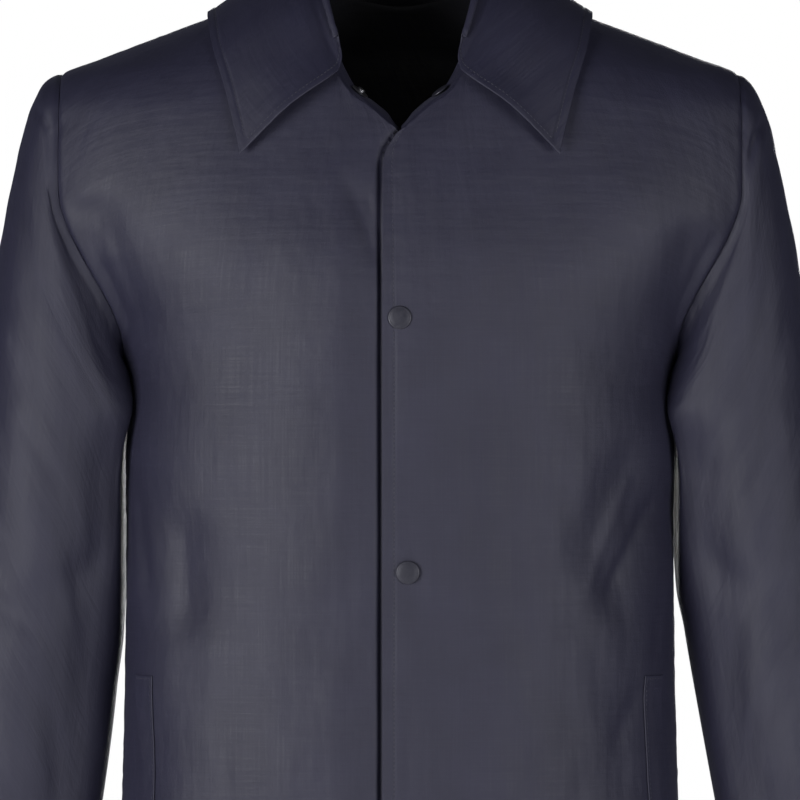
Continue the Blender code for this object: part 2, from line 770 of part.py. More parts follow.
def stand_half(turns, side):
    """The collar's stand on one half, from the neck seam up to where the collar rolls over."""
    up, _ = stand_frame(turns)
    rise = up * stand_section(turns)[:, 1:2]
    shares = np.linspace(0.0, 1.0, STAND_ROW_COUNT + 1)
    return neck_points(turns, side) + rise * shares[:, None, None]


def fall_half(turns, side):
    """The collar's fall on one half, from the stand's top over the roll and down to its edge."""
    top = stand_half(turns, side)[-1]
    up, out = stand_frame(turns)
    over, slip, bulge, x, y, lift = fall_section(turns).T
    foot = np.stack([x, y, height_at(x, y)], axis=-1)
    foot = foot + body_normal(foot) * lift[:, None]
    roll = 1.0 - FRONT_CREASE * ease(10.0, 50.0, turns)[:, None]
    crest = top + (up * ROLL_UP + out * ROLL_OUT * ROLL_SHARE) * roll
    brow = top + (out * ROLL_OUT + up * ROLL_UP * ROLL_SHARE) * roll
    seam = neckline(turns + slip)
    seam = seam + body_normal(seam) * over[:, None]
    middle = (seam + foot) / 2
    middle = middle + body_normal(middle) * bulge[:, None]
    return resampled(np.stack([top, crest, brow, seam, middle, foot]), FALL_MARKS)


def both_halves(make, turns):
    """A strip round the neck, from the end of the right front to the end of the left one."""
    return np.concatenate([mirrored(make(turns, -1)), make(turns, 1)[:, ::-1][:, 1:]], axis=1)


def collar():
    """The stand and the fall with their directions, and the directions along the neck seam's halves."""
    turns = np.array(FRONT_TURNS + BACK_TURNS[1:])
    fall_turns = np.array([row[0] for row in FALL_ROWS[::-1]], float)
    half = len(turns) - 1
    stand = both_halves(stand_half, turns)
    stand_normals = facing(grid_normals(stand), (0, half), (0, 1, 0))
    fall = lifted(both_halves(fall_half, fall_turns), FALL_CLEAR)
    fall_normals = facing(grid_normals(fall), (-1, len(fall_turns) - 1), (0, 1, 0))

    # the fall's visible side carries on from the stand's inner one
    bare = FRONT_TURNS.index(fall_turns[0])
    covered = slice(bare, -bare)
    fold = miter(stand_normals[-1, covered], -fall_normals[0])
    line = stand[-1, covered].copy()
    stand[-1, covered] += seam_shift(line, fold, stand[-2, covered])
    fall[0] += seam_shift(line, fold, fall[1])
    stand_normals[-1, covered] = fold
    fall_normals[0] = -fold

    neck = miter(body_normal(stand[0]), stand_normals[0])
    stand[0] += seam_shift(stand[0], neck, stand[1], gap=NECK_GAP)
    stand_normals[0] = neck
    halves = {-1: mirrored(neck[: half + 1]), 1: neck[half:][::-1]}
    return (stand, stand_normals), (fall, fall_normals), halves


def sew(grid, normals, arm, neck, face):
    """Gives a body piece its seams' shared directions and half of each seam's gap."""
    shift = np.zeros_like(grid)
    underarm = len(LOWER_HEIGHTS) - 1
    last = neck_columns(face)
    normals[:underarm, -1] = body_normal(grid[:underarm, -1])
    normals[-1, last:] = body_normal(grid[-1, last:])
    normals[-1, : last + 1] = neck
    normals[underarm:, -1] = arm
    side_seam, shoulder, neck_seam = slice(0, underarm + 1), slice(last, None), slice(0, last + 1)
    shift[side_seam, -1] += seam_shift(grid[side_seam, -1], normals[side_seam, -1], grid[side_seam, -2])
    shift[underarm:, -1] += seam_shift(grid[underarm:, -1], arm, grid[underarm:, -2])
    shift[-1, neck_seam] += seam_shift(grid[-1, neck_seam], neck, grid[-2, neck_seam], gap=NECK_GAP)
    shift[-1, shoulder] += seam_shift(grid[-1, shoulder], normals[-1, shoulder], grid[-2, shoulder])
    return grid + shift, normals


def body_half(side, face, folds, arm_seam, neck_seam):
    """A front, or half the back, folded and sewn."""
    plain = half_body(face)
    grid = fold_body(plain, folds)
    if side < 0 and face < 0:
        drop = UNDER_DROP * (1 - ease(*UNDER_FADE, plain[..., 0]))
        grid = grid - body_normal(plain) * drop[..., None]
    normals = facing(grid_normals(grid), (0, 3), (0, face, 0))
    ring = np.arange(RING // 2, -1, -1)
    arm = arm_seam[ring if face < 0 else (RING - ring) % RING]
    neck = neck_seam[: neck_columns(-1) + 1] if face < 0 else neck_seam[::-1][: neck_columns(1) + 1]
    return sew(grid, normals, arm, neck, face)


def to_side(side, grid, normals):
    """A piece made on the +X side, set on its own side."""
    return (mirrored(grid), mirrored(normals)) if side < 0 else (grid, normals)


def make_back(arm_seams, neck_seams):
    halves = {}
    for side in SIDES:
        own = [(x0 * side, z0, x1 * side, z1, wide, deep) for x0, z0, x1, z1, wide, deep in BACK_FOLDS]
        halves[side] = to_side(side, *body_half(side, 1, own, arm_seams[side], neck_seams[side]))
    joined = [
        np.concatenate([right[:, ::-1], left[:, 1:]], axis=1)
        for right, left in zip(halves[-1], halves[1])
    ]
    wall("back", *joined)


def make_welt(side, front_grid, front_normals):
    """A pocket welt, one cell of the front wide, from the front's own points moved out."""
    heights = sorted(LOWER_HEIGHTS)
    rows = slice(heights.index(WELT_FOOT), heights.index(WELT_TOP) + 1)
    first = front_grid.shape[1] - 2 - SIDE_COLUMNS
    grid, normals = (part[rows, first : first + 2] for part in (front_grid, front_normals))
    grid = grid + normals * (WALL + SEAM_GAP)
    wall("welt_" + SIDES[side], *to_side(side, grid, normals))


def make_front_snaps(fronts):
    """Snaps down the front, each a cap on the upper layer and a post behind the under one."""
    for number, (x, z) in enumerate(SNAP_PLACES, 1):
        place, out = hit(fronts[1], (x, -BEFORE, z), (0, 1, 0))
        cap = dome(CAP_RADIUS, CAP_RISE)
        turned_piece(f"snap_cap_{number}", place + out * REST_GAP, out, cap, SNAP_GREY)
        place, inward = hit(fronts[-1], (x, 0.0, z), (0, -1, 0))
        post = dome(POST_RADIUS, POST_RISE)
        turned_piece(f"snap_post_{number}", place + inward * REST_GAP, inward, post, STEEL)


def make_neck_snap(stand, normals):
    """The open snap: cap and socket on the stand's left end, stud and post on its right end."""
    pieces = (
        ("snap_cap_top", 1, 1, dome(NECK_CAP_RADIUS, CAP_RISE), SNAP_GREY),
        ("snap_socket_top", 1, -1, dome(NECK_CAP_RADIUS, POST_RISE), STEEL),
        ("snap_stud_top", -1, 1, stud(NECK_CAP_RADIUS, STUD_RISE), STEEL),
        ("snap_post_top", -1, -1, dome(NECK_CAP_RADIUS, POST_RISE), STEEL),
    )
    for name, side, way, profile, colour in pieces:
        column = NECK_SNAP_CELL if side < 0 else stand.shape[1] - 2 - NECK_SNAP_CELL
        cell = stand[1:3, column : column + 2]
        out = unit(np.cross(cell[0, 1] - cell[1, 0], cell[1, 1] - cell[0, 0]))
        out *= np.sign(np.dot(out, normals[1, column])) * way
        centre = cell.mean(axis=(0, 1)) + out * (WALL / 2 + REST_GAP)
        turned_piece(name, centre, out, profile, colour)


def main():
    for old in list(bpy.data.objects):
        bpy.data.objects.remove(old, do_unlink=True)

    stand, fall, neck_seams = collar()
    wall("collar_stand", *stand)
    wall("collar_fall", *fall)
    arm_seams, fronts = {}, {}
    for side, name in SIDES.items():
        grid, normals, arm_seams[side] = sleeve(side)
        wall("sleeve_" + name, *to_side(side, grid, normals), closed=True)
        folds = RIGHT_FOLDS if side < 0 else LEFT_FOLDS
        grid, normals = body_half(side, -1, folds, arm_seams[side], neck_seams[side])
        fronts[side] = wall("front_" + name, *to_side(side, grid, normals))
        make_welt(side, grid, normals)
    make_back(arm_seams, neck_seams)
    make_front_snaps(fronts)
    make_neck_snap(*stand)


main()
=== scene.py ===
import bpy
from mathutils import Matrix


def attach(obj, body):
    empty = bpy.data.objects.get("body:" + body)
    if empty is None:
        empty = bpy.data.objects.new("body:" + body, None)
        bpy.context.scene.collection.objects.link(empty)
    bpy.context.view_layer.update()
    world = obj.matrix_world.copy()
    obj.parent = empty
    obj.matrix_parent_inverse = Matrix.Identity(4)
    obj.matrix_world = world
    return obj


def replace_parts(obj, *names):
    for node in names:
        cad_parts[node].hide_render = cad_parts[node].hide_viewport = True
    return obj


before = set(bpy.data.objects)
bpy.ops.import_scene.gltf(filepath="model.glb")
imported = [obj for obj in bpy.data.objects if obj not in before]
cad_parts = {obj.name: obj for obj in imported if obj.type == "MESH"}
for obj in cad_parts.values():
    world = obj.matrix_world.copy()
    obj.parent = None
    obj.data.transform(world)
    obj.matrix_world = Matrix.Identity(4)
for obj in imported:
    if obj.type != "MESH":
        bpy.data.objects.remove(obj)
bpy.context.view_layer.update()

import math

import bmesh
import bpy
import numpy as np
from mathutils import Vector

# All shapes are worked out in millimetres
MM = 0.001

# The wearer's right and left: the sign of X and the name
SIDES = {-1: "right", 1: "left"}

# Seams
SEAM_GAP = 0.3
# the neck seam turns sharply, so its pieces stand a little further apart
NECK_GAP = 0.5
# longest reach of a wall's corner at a seam, in half walls
LONGEST_MITER = 1.5

# Heights and reaches of the body
UNDERARM = -262.0
SHOULDER_TIP = -60.0
UNDERARM_REACH = 192.0
TIP_REACH = 236.0
ARMHOLE_RISE = (0.02, 0.60)
WIDE_POWER = 2.3
DEEP_POWER = 2.2
# reach of the body's core as a share of a point's own, and the height over which it draws in
CORE_SHARE = 0.6
CORE_TOP = -150.0

# Neckline in plan, and the front edge beside it
NECK_HALF = 76.0
NECK_FRONT = 104.0
NECK_BACK = 69.0
FRONT_LAP = 12.0
NECK_SQUARE = 0.85
NECK_CORNER = 0.9
# how far the neckline's curve is drawn in to a straight V in front, and over which reach
NECK_VEE = 0.4
NECK_VEE_REACH = 24.0
# columns of the neck seam that the V runs through
VEE_COLUMNS = 5
# turn from which the stand's end swings round to stand upright at the middle
STAND_SQUARE_FROM = 80.0
EDGE_CURVE = 30.0
EDGE_POWER = 2.5
UNDER_DROP = 2.6
UNDER_FADE = (14.0, 45.0)
# how fast the front edge's curve dies out over the columns beside it
EDGE_FADE = 6.0

# Welt pockets, measured round the body from the side seam
WELT_FROM_SIDE = 50.0
WELT_WIDTH = 22.8
WELT_TOP = -478.0
WELT_FOOT = -635.0

# Grid counts
SHOULDER_COLUMNS = 8
SIDE_COLUMNS = 3
UPPER_ROWS = 12
RING = 24

# height, half width, front depth, back depth
BODY_ROWS = (
    (-715, 196, 120, 112),
    (-600, 195, 121, 110),
    (-480, 192, 121, 107),
    (-400, 191, 123, 108),
    (-330, 191.5, 125, 111),
    (-262, 192, 126, 116),
    (-240, 201, 126, 117),
    (-220, 215, 125.5, 118),
    (-200, 232, 124.5, 118),
    (-180, 248, 122, 117.5),
    (-160, 262, 118, 116),
    (-140, 268, 113.5, 113.5),
    (-120, 270, 108, 110),
    (-100, 268, 102.5, 104.5),
    (-80, 262, 96, 98),
    (-70, 252, 92, 94),
    (-60, 236, 88, 90),
    (-50, 209, 84, 85.5),
    (-40, 183, 80, 81),
    (-30, 156, 76, 78),
    (-20, 129, 72, 74.5),
    (-10, 103, 68, 70.5),
    (0, 76, 64, 65),
    (10, 50, 48, 57),
    (20, 24, 38, 47),
)

# heights of the rows of the body's lower part, from the underarm down
LOWER_HEIGHTS = (-262, -294, -326, -358, -389, -420, -449, -478, -509, -541, -572, -604, -635, -670, -705)

# station, outer height, outer reach right and left, inner height, inner reach right and left, front, back
SLEEVE_ROWS = (
    (0, -60, 236, 236, -262, 192, 192, -61, 59),
    (1, -63, 243.5, 240.5, -263.5, 192.8, 192.8, -62, 60.5),
    (2, -68, 249.3, 245.5, -265.5, 193.4, 193.4, -63, 62.5),
    (3, -77, 253.3, 251, -268, 193.6, 193.6, -64, 64.5),
    (4, -92, 258.5, 256.4, -271.5, 193.2, 193.2, -65.5, 67),
    (5, -115, 265.6, 262.8, -276, 192, 192, -67.5, 70.5),
    (6, -146, 272.8, 269.4, -281, 190, 190, -69, 74),
    (7, -184, 279.1, 276.2, -287, 186, 186, -70, 77),
    (8, -226, 284.8, 282.8, -294, 180, 180, -70, 78),
    (9, -270, 291.4, 290.4, -304, 175, 174, -70, 78),
    (10, -312, 297.8, 297.4, -327, 176.5, 176.5, -69, 77.5),
    (11, -350, 303.5, 303.5, -360, 180.2, 182, -68, 76.5),
    (12, -386, 308.8, 309.5, -395, 184.6, 188.4, -66.5, 75),
    (13, -421, 313.9, 315.3, -430, 189.1, 194.8, -65, 73),
    (14, -456, 319, 321, -465, 193.6, 201.2, -64, 71),
    (15, -491, 324, 327, -500, 198, 207.6, -63.5, 68),
    (16, -527, 328.5, 332.7, -537, 203, 214.4, -63, 64.5),
    (17, -563, 332, 337.5, -574, 208.5, 221.2, -62.5, 60),
    (18, -600, 335, 342, -612, 214.5, 228.4, -62, 54),
    (19, -637, 337, 346, -650, 220.5, 235.6, -61, 48),
    (20, -664, 338, 348.3, -678, 225.5, 240.9, -60, 43),
    (21, -690, 338.5, 350, -703, 229.5, 245.5, -59, 39),
)
SLEEVE_POWER = 2.2
# stations over which the armhole's shape turns into a level oval
CAP_STATIONS = 8.0
SLEEVE_CLEAR = 3.3
CLEAR_STATIONS = 4.0
# how far above the underarm a sleeve's clearance ends, and the most that it moves a point
CLEAR_FADE = 24.0
MOST_PUSH = 30.0
SLEEVE_EASE = 2.5

# turn round the neck, degrees that the band stands off the line of the body, its height
STAND_ROWS = (
    (-120, 38, 34.5),
    (-90, 20, 39),
    (-60, 38, 34.5),
    (-45, 50, 32),
    (-15, 54, 28),
    (0, 38, 25.5),
    (12, 6, 23.5),
    (24, -30, 21),
    (37, -54, 19),
    (50, -64, 18),
    (63, -64, 18),
    (76, -64, 18),
    (90, -60, 12),
)
STAND_ROW_COUNT = 3

# turn round the neck where the collar starts, its height over the neck seam and the turn it slips
# forward there, its bulge off the body half way down, its edge in plan (reach, depth) and lift there
FALL_ROWS = (
    (-90, 8, 0, 2, 0, 85, 4),
    (-75, 8, 0, 2, 27, 84, 4),
    (-60, 8.5, 0, 2, 54, 80, 4),
    (-45, 9, 0, 2, 82, 71, 4),
    (-30, 10, 0, 2, 106, 56, 4),
    (-15, 13, 0, 2, 124, 33, 4),
    (0, 14, 0, 2, 131.5, 0, 4),
    (12, 12, 1, 2, 132, -36, 4),
    (24, 9, 3, 3, 128, -68, 4),
    (37, 6, 6, 5, 119, -87.5, 4.5),
    (50, 4.6, 10, 8, 108, -102.4, 7),
)
ROLL_UP = 4.0
ROLL_OUT = 6.5
ROLL_SHARE = 0.35
FRONT_CREASE = 0.5
FALL_CLEAR = 3.8

# folds of the fronts: from (own-side x, height) to (x, height), width, depth inward
RIGHT_FOLDS = (
    (214, -150, 203, -188, 16, 7.6),
    (203, -188, 186, -244, 18, 8.7),
    (150, -366, 147, -450, 20, 7.6),
    (168, -520, 160, -640, 22, 2.2),
    (34, -136, 13, -200, 12, 2.4),
    (96, -560, 88, -705, 30, 7.2),
)
LEFT_FOLDS = (
    (165, -318, 124, -404, 18, 9.6),
    (180, -350, 142, -430, 16, 8.1),
    (166, -480, 148, -560, 20, 4.4),
    (206, -170, 188, -240, 16, 7.2),
    (98, -590, 108, -705, 30, 7.2),
)
# folds of the back: from (x, height) to (x, height), width, depth inward
BACK_FOLDS = (
    (206, -150, 176, -250, 19, 8.7),
    (-206, -156, -178, -256, 19, 8.7),
    (168, -300, 96, -400, 22, 8.7),
    (-170, -316, -104, -392, 22, 7.6),
    (160, -430, 120, -520, 22, 7.2),
    (-166, -446, -128, -560, 22, 7.6),
    (60, -560, 70, -705, 32, 7.6),
    (-56, -590, -64, -705, 32, 7.2),
)
# folds of a sleeve: from (angle, height) to (angle, height), width, depth inward
SLEEVE_FOLDS = (
    (60, -250, 130, -330, 18, 7),
    (20, -330, 85, -400, 18, 6.2),
    (150, -395, 60, -440, 18, 7.5),
    (300, -300, 225, -370, 19, 7.5),
    (330, -420, 230, -470, 19, 7),
    (40, -540, 120, -580, 19, 5.5),
    (260, -560, 330, -610, 19, 5.9),
    (95, -610, 30, -650, 17, 4.9),
)

# Steps of the fine grids: how many to each cell of the solids' grids
LOWER_STEPS = 10
UPPER_STEPS = 6
FRONT_STEPS = 8
BACK_STEPS = 5
SLEEVE_COLUMN_STEPS = 6
SLEEVE_STEPS = (4, 3, 4, 6, 8, 10, 12, 12, 12, 12, 11, 11, 10, 10, 10, 10, 10, 10, 10, 8, 8)
NECK_STEPS = 10
STAND_STEPS = 7
FALL_STEPS = 54
WELT_STEPS = (10, 8)

# Closer steps, in millimetres from a seam or from an edge with its row of stitches
SEAM_MARKS = (0.0, 0.5, 1.0, 1.6, 2.4, 3.4, 4.6)
EDGE_MARKS = (0.0, 0.15, 0.4, 0.8, 1.5, 2.6, 3.8, 4.8, 5.6, 6.4, 7.2, 8.0, 8.8, 9.6, 10.6, 12.0)
UNDER_MARKS = (14.0, 16.0, 18.5, 20.5, 22.0, 23.0, 24.0, 25.0, 26.0, 27.0, 28.5, 30.5)
HEM_MARKS = (0.0, 0.15, 0.4, 0.8, 2.0, 5.0, 9.0, 13.0, 17.0, 18.6, 19.6, 20.4, 21.4, 23.0)
WELT_MARKS = (0.0, 0.12, 0.35, 0.8, 1.6)
# millimetres in the first and last cells of each grid, which those marks are turned into
ROW_ENDS = (35.0, 13.0)
COLUMN_ENDS = (18.5, 16.7)
WELT_ENDS = (31.0, 31.0)
SLEEVE_ENDS = (7.0, 26.0)
STAND_ENDS = (8.0, 8.0)
FALL_ENDS = (1.6, 1.6)
BARE_NECK_END = 10.0
COVERED_NECK_END = 20.0

# Cloth: thicknesses, how far a welt stands off, and how a turned edge and a seam are formed
CLOTH = 0.8
COLLAR_CLOTH = 1.1
WELT_CLOTH = 1.2
WELT_LIFT = 1.2
EDGE_ROUND = 0.5
SEAM_DIP = 1.1
SEAM_REACH = 2.2
SEAM_BLEND = 6.0
PUCKER_LENGTH = 7.0
PUCKER_REACH = 9.0
SEAM_PUCKER = 0.22
CAP_PUCKER = 0.35
TURN_RISE = 0.28
STITCH_PULL = 0.38
STITCH_PUCKER = 0.20
# depth of the cloth's unevenness from coarse to fine, and how wide and long its bumps are
SWELL = 1.3
RIPPLE = 0.42
FINE = 0.09
COLLAR_SWELL = 0.35
BODY_SPANS = ((90.0, 130.0), (20.0, 60.0), (7.0, 20.0))
SLEEVE_SPANS = ((80.0, 90.0), (26.0, 34.0), (7.0, 18.0))
COLLAR_SPAN = (50.0, 40.0)
# reach from a seam over which the swell, the fine bumps and the folds grow to their full depth
SWELL_FADE = 45.0
FINE_FADE = 8.0
FOLD_FADE = 14.0
# heights over which the ripple grows from its share above to all of it below
RIPPLE_GROWS = (-250.0, -480.0)
RIPPLE_ABOVE = 0.4
# a sleeve's radius, as its unevenness runs round it, and where that fades in: turn, distance down
SLEEVE_RADIUS = 60.0
SLEEVE_FREE = ((35.0, 70.0), (0.0, 40.0))
# half width of the groove that a row of stitches pulls
PULL_WIDTH = 0.9
# distances from the front edge over which each front's folds grow to their full depth
FRONT_CALM = {-1: (8.0, 45.0), 1: (-4.0, 34.0)}
# share of the solids' folds that the cloth keeps
FOLD_SHARE = 0.6
SLEEVE_FOLD_SHARE = 0.35
# the front edge: how far it stands up, and the trough pressed beneath it
EDGE_LIFT = (0.7, 3.0)
TROUGH = (4.2, 1.8, 1.0)
# reach over which the seams stay full at the underarm
UNDERARM_REST = 20.0
# where a sleeve is pressed against the body: size, turn from the inside, its spread, height, reach
PRESS = (6.0, 15.0, 30.0, -272.0, 22.0)
# how near the body a sleeve's relief may bring it, and how far above the underarm that ends
TOUCH = 1.3
TOUCH_FADE = 12.0
# heights between which each sleeve's inner side leaves the body, how far it leans over until there
LEAVES = {-1: (-490.0, -450.0), 1: (-448.0, -418.0)}
LEAN = 2.2
# how far a sleeve turns away in front of its inner side, at which turn from it, and below which height
TURN_IN = 9.0
TURN_IN_AT = (54.0, 30.0)
TURN_IN_BELOW = (-345.0, -290.0)
# length round a sleeve for each degree, in its cloth's measure
ROUND_MM = 1.3
# how far the collar's front edges stand off and over which reach, and how far its stitches pull in
EDGE_STAND = (3.0, 14.0)
COLLAR_PULL = 0.75
WAVE_COUNT = 26

# Stitching: rows inside the edges, and the thread
PLACKET_STITCH = 8.0
HEM_STITCH = 20.0
COLLAR_STITCH = 6.5
POINT_STITCH = 4.8
WELT_STITCH = 2.2
STITCH_PITCH = 3.2
STITCH_SHARE = 0.74
THREAD_RADIUS = 0.24
THREAD_SIDES = 6
# place along a stitch, width and height of the thread there in thread radiuses
THREAD_RINGS = (
    (0.0, 0.15, -0.9),
    (0.14, 0.85, -0.3),
    (0.5, 1.0, 0.25),
    (0.86, 0.85, -0.3),
    (1.0, 0.15, -0.9),
)

# Cut sizes (width, length) in metres and areas in square metres
FRONT_CUT = ((0.27, 0.76), 0.185)
BACK_CUT = ((0.515, 0.75), 0.357)
SLEEVE_CUT = ((0.42, 0.65), 0.212)
STAND_CUT = ((0.50, 0.045), 0.0145)
FALL_CUT = ((0.58, 0.12), 0.0545)
WELT_CUT = ((0.023, 0.157), 0.0036)

# small creases of the fronts: from (own-side x, height) to (x, height), width, depth inward
RIGHT_CREASES = (
    (227, -170, 211, -206, 4.5, 1.6),
    (206, -174, 190, -226, 4.5, -0.9),
    (187, -344, 180, -436, 3.2, -0.9),
    (181, -356, 173, -424, 3.6, 0.9),
    (152, -372, 149, -442, 5.5, 1.2),
    (36, -136, 14, -196, 5, 1.3),
    (24, -145, 13, -180, 3.5, 0.8),
    (188, -490, 182, -560, 4, 0.8),
    (120, -520, 112, -610, 6, 0.8),
)
LEFT_CREASES = (
    (161, -336, 128, -420, 4.5, -1),
    (177, -356, 143, -424, 4.5, 1.4),
    (166, -486, 150, -524, 6, 1.2),
    (192, -236, 178, -290, 4.5, 1),
    (218, -176, 204, -214, 4.5, 1.3),
    (184, -400, 176, -470, 3.6, 0.8),
    (124, -540, 114, -620, 6, 0.8),
)
BACK_CREASES = (
    (214, -170, 196, -214, 4.5, 1.4),
    (-214, -170, -196, -214, 4.5, 1.4),
    (150, -320, 112, -392, 5, 1.2),
    (-152, -334, -116, -396, 5, 1.2),
    (30, -40, 70, -70, 9, 0.9),
    (-30, -40, -70, -70, 9, 0.9),
)
# creases on the front of each sleeve, given as for the fronts
RIGHT_SLEEVE_CREASES = (
    (252, -86, 241, -102, 3.6, 1.8),
    (242, -98, 234, -146, 4.2, 2.2),
    (262, -150, 250, -230, 6, 1.2),
    (262, -300, 232, -352, 6.5, 1.6),
    (284, -420, 250, -452, 6, 1.5),
)
LEFT_SLEEVE_CREASES = (
    (252, -94, 238, -122, 3.6, 2.6),
    (240, -116, 224, -162, 4.2, 3),
    (258, -160, 248, -240, 6, 1.2),
    (264, -310, 236, -356, 6.5, 1.6),
    (290, -440, 256, -470, 6, 1.5),
)
# folds and creases by side
FRONT_RELIEF = {-1: (RIGHT_FOLDS, RIGHT_CREASES), 1: (LEFT_FOLDS, LEFT_CREASES)}
SLEEVE_CREASES = {-1: RIGHT_SLEEVE_CREASES, 1: LEFT_SLEEVE_CREASES}
# millimetres round a sleeve for each degree, which the sleeve's folds are given in
DEGREE_MM = 1.15

# Snaps: profiles of (radius, height) on the foot of each solid
SNAP_SIDES = 72
CAP_PROFILE = (
    (0.0, 0.0), (7.3, 0.0), (7.75, 0.18), (7.98, 0.5), (7.9, 0.85), (7.55, 1.12), (7.0, 1.25), (6.7, 1.22),
    (6.45, 1.28), (5.6, 1.44), (4.2, 1.6), (2.4, 1.7), (0.0, 1.74),
)
NECK_CAP_PROFILE = (
    (0.0, 0.0), (5.9, 0.0), (6.3, 0.18), (6.48, 0.5), (6.4, 0.85), (6.1, 1.1), (5.6, 1.2), (5.3, 1.17),
    (5.0, 1.24), (4.2, 1.42), (3.0, 1.55), (1.6, 1.62), (0.0, 1.65),
)
POST_PROFILE = (
    (0.0, 0.0), (5.5, 0.0), (5.85, 0.2), (5.95, 0.5), (5.7, 0.85), (5.2, 1.0), (4.6, 0.95), (4.2, 0.7),
    (3.2, 0.62), (2.9, 0.8), (2.4, 1.0), (1.2, 1.08), (0.0, 1.1),
)
SOCKET_PROFILE = (
    (0.0, 0.0), (5.9, 0.0), (6.3, 0.2), (6.45, 0.5), (6.2, 0.9), (5.6, 1.1), (4.7, 1.12), (4.2, 0.95),
    (3.4, 0.9), (3.05, 1.05), (2.75, 0.95), (2.6, 0.35), (1.2, 0.25), (0.0, 0.25),
)
STUD_PROFILE = (
    (0.0, 0.0), (5.9, 0.0), (6.3, 0.2), (6.45, 0.5), (6.2, 0.8), (5.4, 0.95), (4.4, 0.85), (3.9, 0.75),
    (3.1, 0.85), (2.75, 1.2), (2.7, 1.7), (2.95, 2.15), (2.75, 2.5), (2.0, 2.72), (0.0, 2.75),
)
WELD = 1e-6

# Colours
NAVY_DARK = (0.0115, 0.0110, 0.0285)
NAVY_LIGHT = (0.0150, 0.0145, 0.0350)
# inner faces of the cloth: a far darker navy than the outside, as painted shade for the dim inside of the
# jacket
SHADED_INSIDE_DARK = (0.004, 0.004, 0.009)
SHADED_INSIDE_LIGHT = (0.006, 0.006, 0.012)
NYLON_ROUGH = (0.50, 0.60)
NYLON_SPECULAR = 0.5
NYLON_SHEEN = 0.05
THREAD_SPACING = 0.55
THREAD_DARK = (0.016, 0.016, 0.028)
THREAD_LIGHT = (0.035, 0.036, 0.055)
ENAMEL_DARK = (0.026, 0.026, 0.038)
ENAMEL_LIGHT = (0.034, 0.034, 0.048)
STEEL_DARK = (0.26, 0.26, 0.28)
STEEL_LIGHT = (0.38, 0.38, 0.40)

# Studio, in metres
SENSOR = 36.0
CAMERA_DISTANCE = 4.0
CAMERA_HEIGHT = -0.288
FRAME_WIDTH = 0.560
FLOOR = -1.45
FLOOR_RADIUS = 3.0
WORLD_COLOUR = (0.82, 0.86, 1.0)
WORLD_LIGHT = 0.03
FLOOR_COLOUR = (0.90, 0.90, 0.91, 1.0)
# what the lights are aimed at, then name, place, size and power of each
LIGHTS_AIM = (0.0, 0.0, -0.35)
LIGHTS = (
    ("key", (-2.2, -2.5, -0.30), (1.7, 1.4), 90.0),
    ("fill", (2.2, -2.6, -0.30), (1.6, 1.4), 52.0),
    ("back", (0.3, 3.6, 0.10), (1.4, 1.4), 90.0),
)


def unit(vectors):
    return vectors / np.maximum(np.linalg.norm(vectors, axis=-1, keepdims=True), 1e-9)


def ease(start, end, value):
    """0 before start and 1 after end, with a smooth turn between them."""
    t = np.clip((np.asarray(value, float) - start) / (end - start), 0.0, 1.0)
    return t * t * (3.0 - 2.0 * t)


def through(rows):
    """A smooth curve through the rows, as a function of their first column, which rises."""
    rows = np.array(rows, float)
    places, values = rows[:, 0], rows[:, 1:]
    spans = np.diff(places)[:, None]
    slopes = np.diff(values, axis=0) / spans
    inner = (slopes[:-1] * spans[1:] + slopes[1:] * spans[:-1]) / (spans[1:] + spans[:-1])
    turns = np.vstack([slopes[:1], inner, slopes[-1:]])

    def at(place):
        place = np.clip(np.asarray(place, float), places[0], places[-1])
        k = np.clip(np.searchsorted(places, place, side="right") - 1, 0, len(places) - 2)
        span = spans[k]
        t = ((place - places[k]) / span[..., 0])[..., None]
        start = (1 + 2 * t) * (1 - t) ** 2 * values[k] + t * (1 - t) ** 2 * span * turns[k]
        end = t**2 * (3 - 2 * t) * values[k + 1] + t**2 * (t - 1) * span * turns[k + 1]
        return start + end

    return at


body_section = through(BODY_ROWS)
stand_section = through(STAND_ROWS)
fall_section = through(FALL_ROWS)
sleeve_section = through(SLEEVE_ROWS)


# The body's surface


def level(points):
    """Below 0 inside the body's surface, 0 on it and above 0 outside."""
    section = body_section(points[..., 2])
    depth = np.where(points[..., 1] < 0, section[..., 1], section[..., 2])
    wide = (np.abs(points[..., 0]) / section[..., 0]) ** WIDE_POWER
    return wide + (np.abs(points[..., 1]) / depth) ** DEEP_POWER - 1.0


def slope(points):
    """The level's change along each axis."""
    step = 0.5
    rises = []
    for axis in range(3):
        move = np.zeros(3)
        move[axis] = step
        rises.append((level(points + move) - level(points - move)) / (2 * step))
    return np.stack(rises, axis=-1)


def body_normal(points):
    return unit(slope(points))


def depth_at(x, z, face):
    """The y of the surface at x and z, on the front for face -1 and on the back for face 1."""
    section = body_section(z)
    depth = section[..., 1] if face < 0 else section[..., 2]
    inside = np.clip(1.0 - (np.abs(x) / section[..., 0]) ** WIDE_POWER, 0.0, 1.0)
    return face * depth * inside ** (1.0 / DEEP_POWER)


def surface_between(low, high, shape, points_at):
    """The value between low and high at which a line of points leaves the body, found by halving."""
    low, high = np.full(shape, low), np.full(shape, high)
    for _ in range(40):
        middle = (low + high) / 2
        outside = level(points_at(middle)) > 0
        high = np.where(outside, middle, high)
        low = np.where(outside, low, middle)
    return (low + high) / 2


def height_at(x, y):
    """The height at which the surface passes over (x, y) in plan."""
    x, y = np.broadcast_arrays(np.asarray(x, float), np.asarray(y, float))
    return surface_between(-200.0, 20.0, x.shape, lambda z: np.stack([x, y, z], axis=-1))


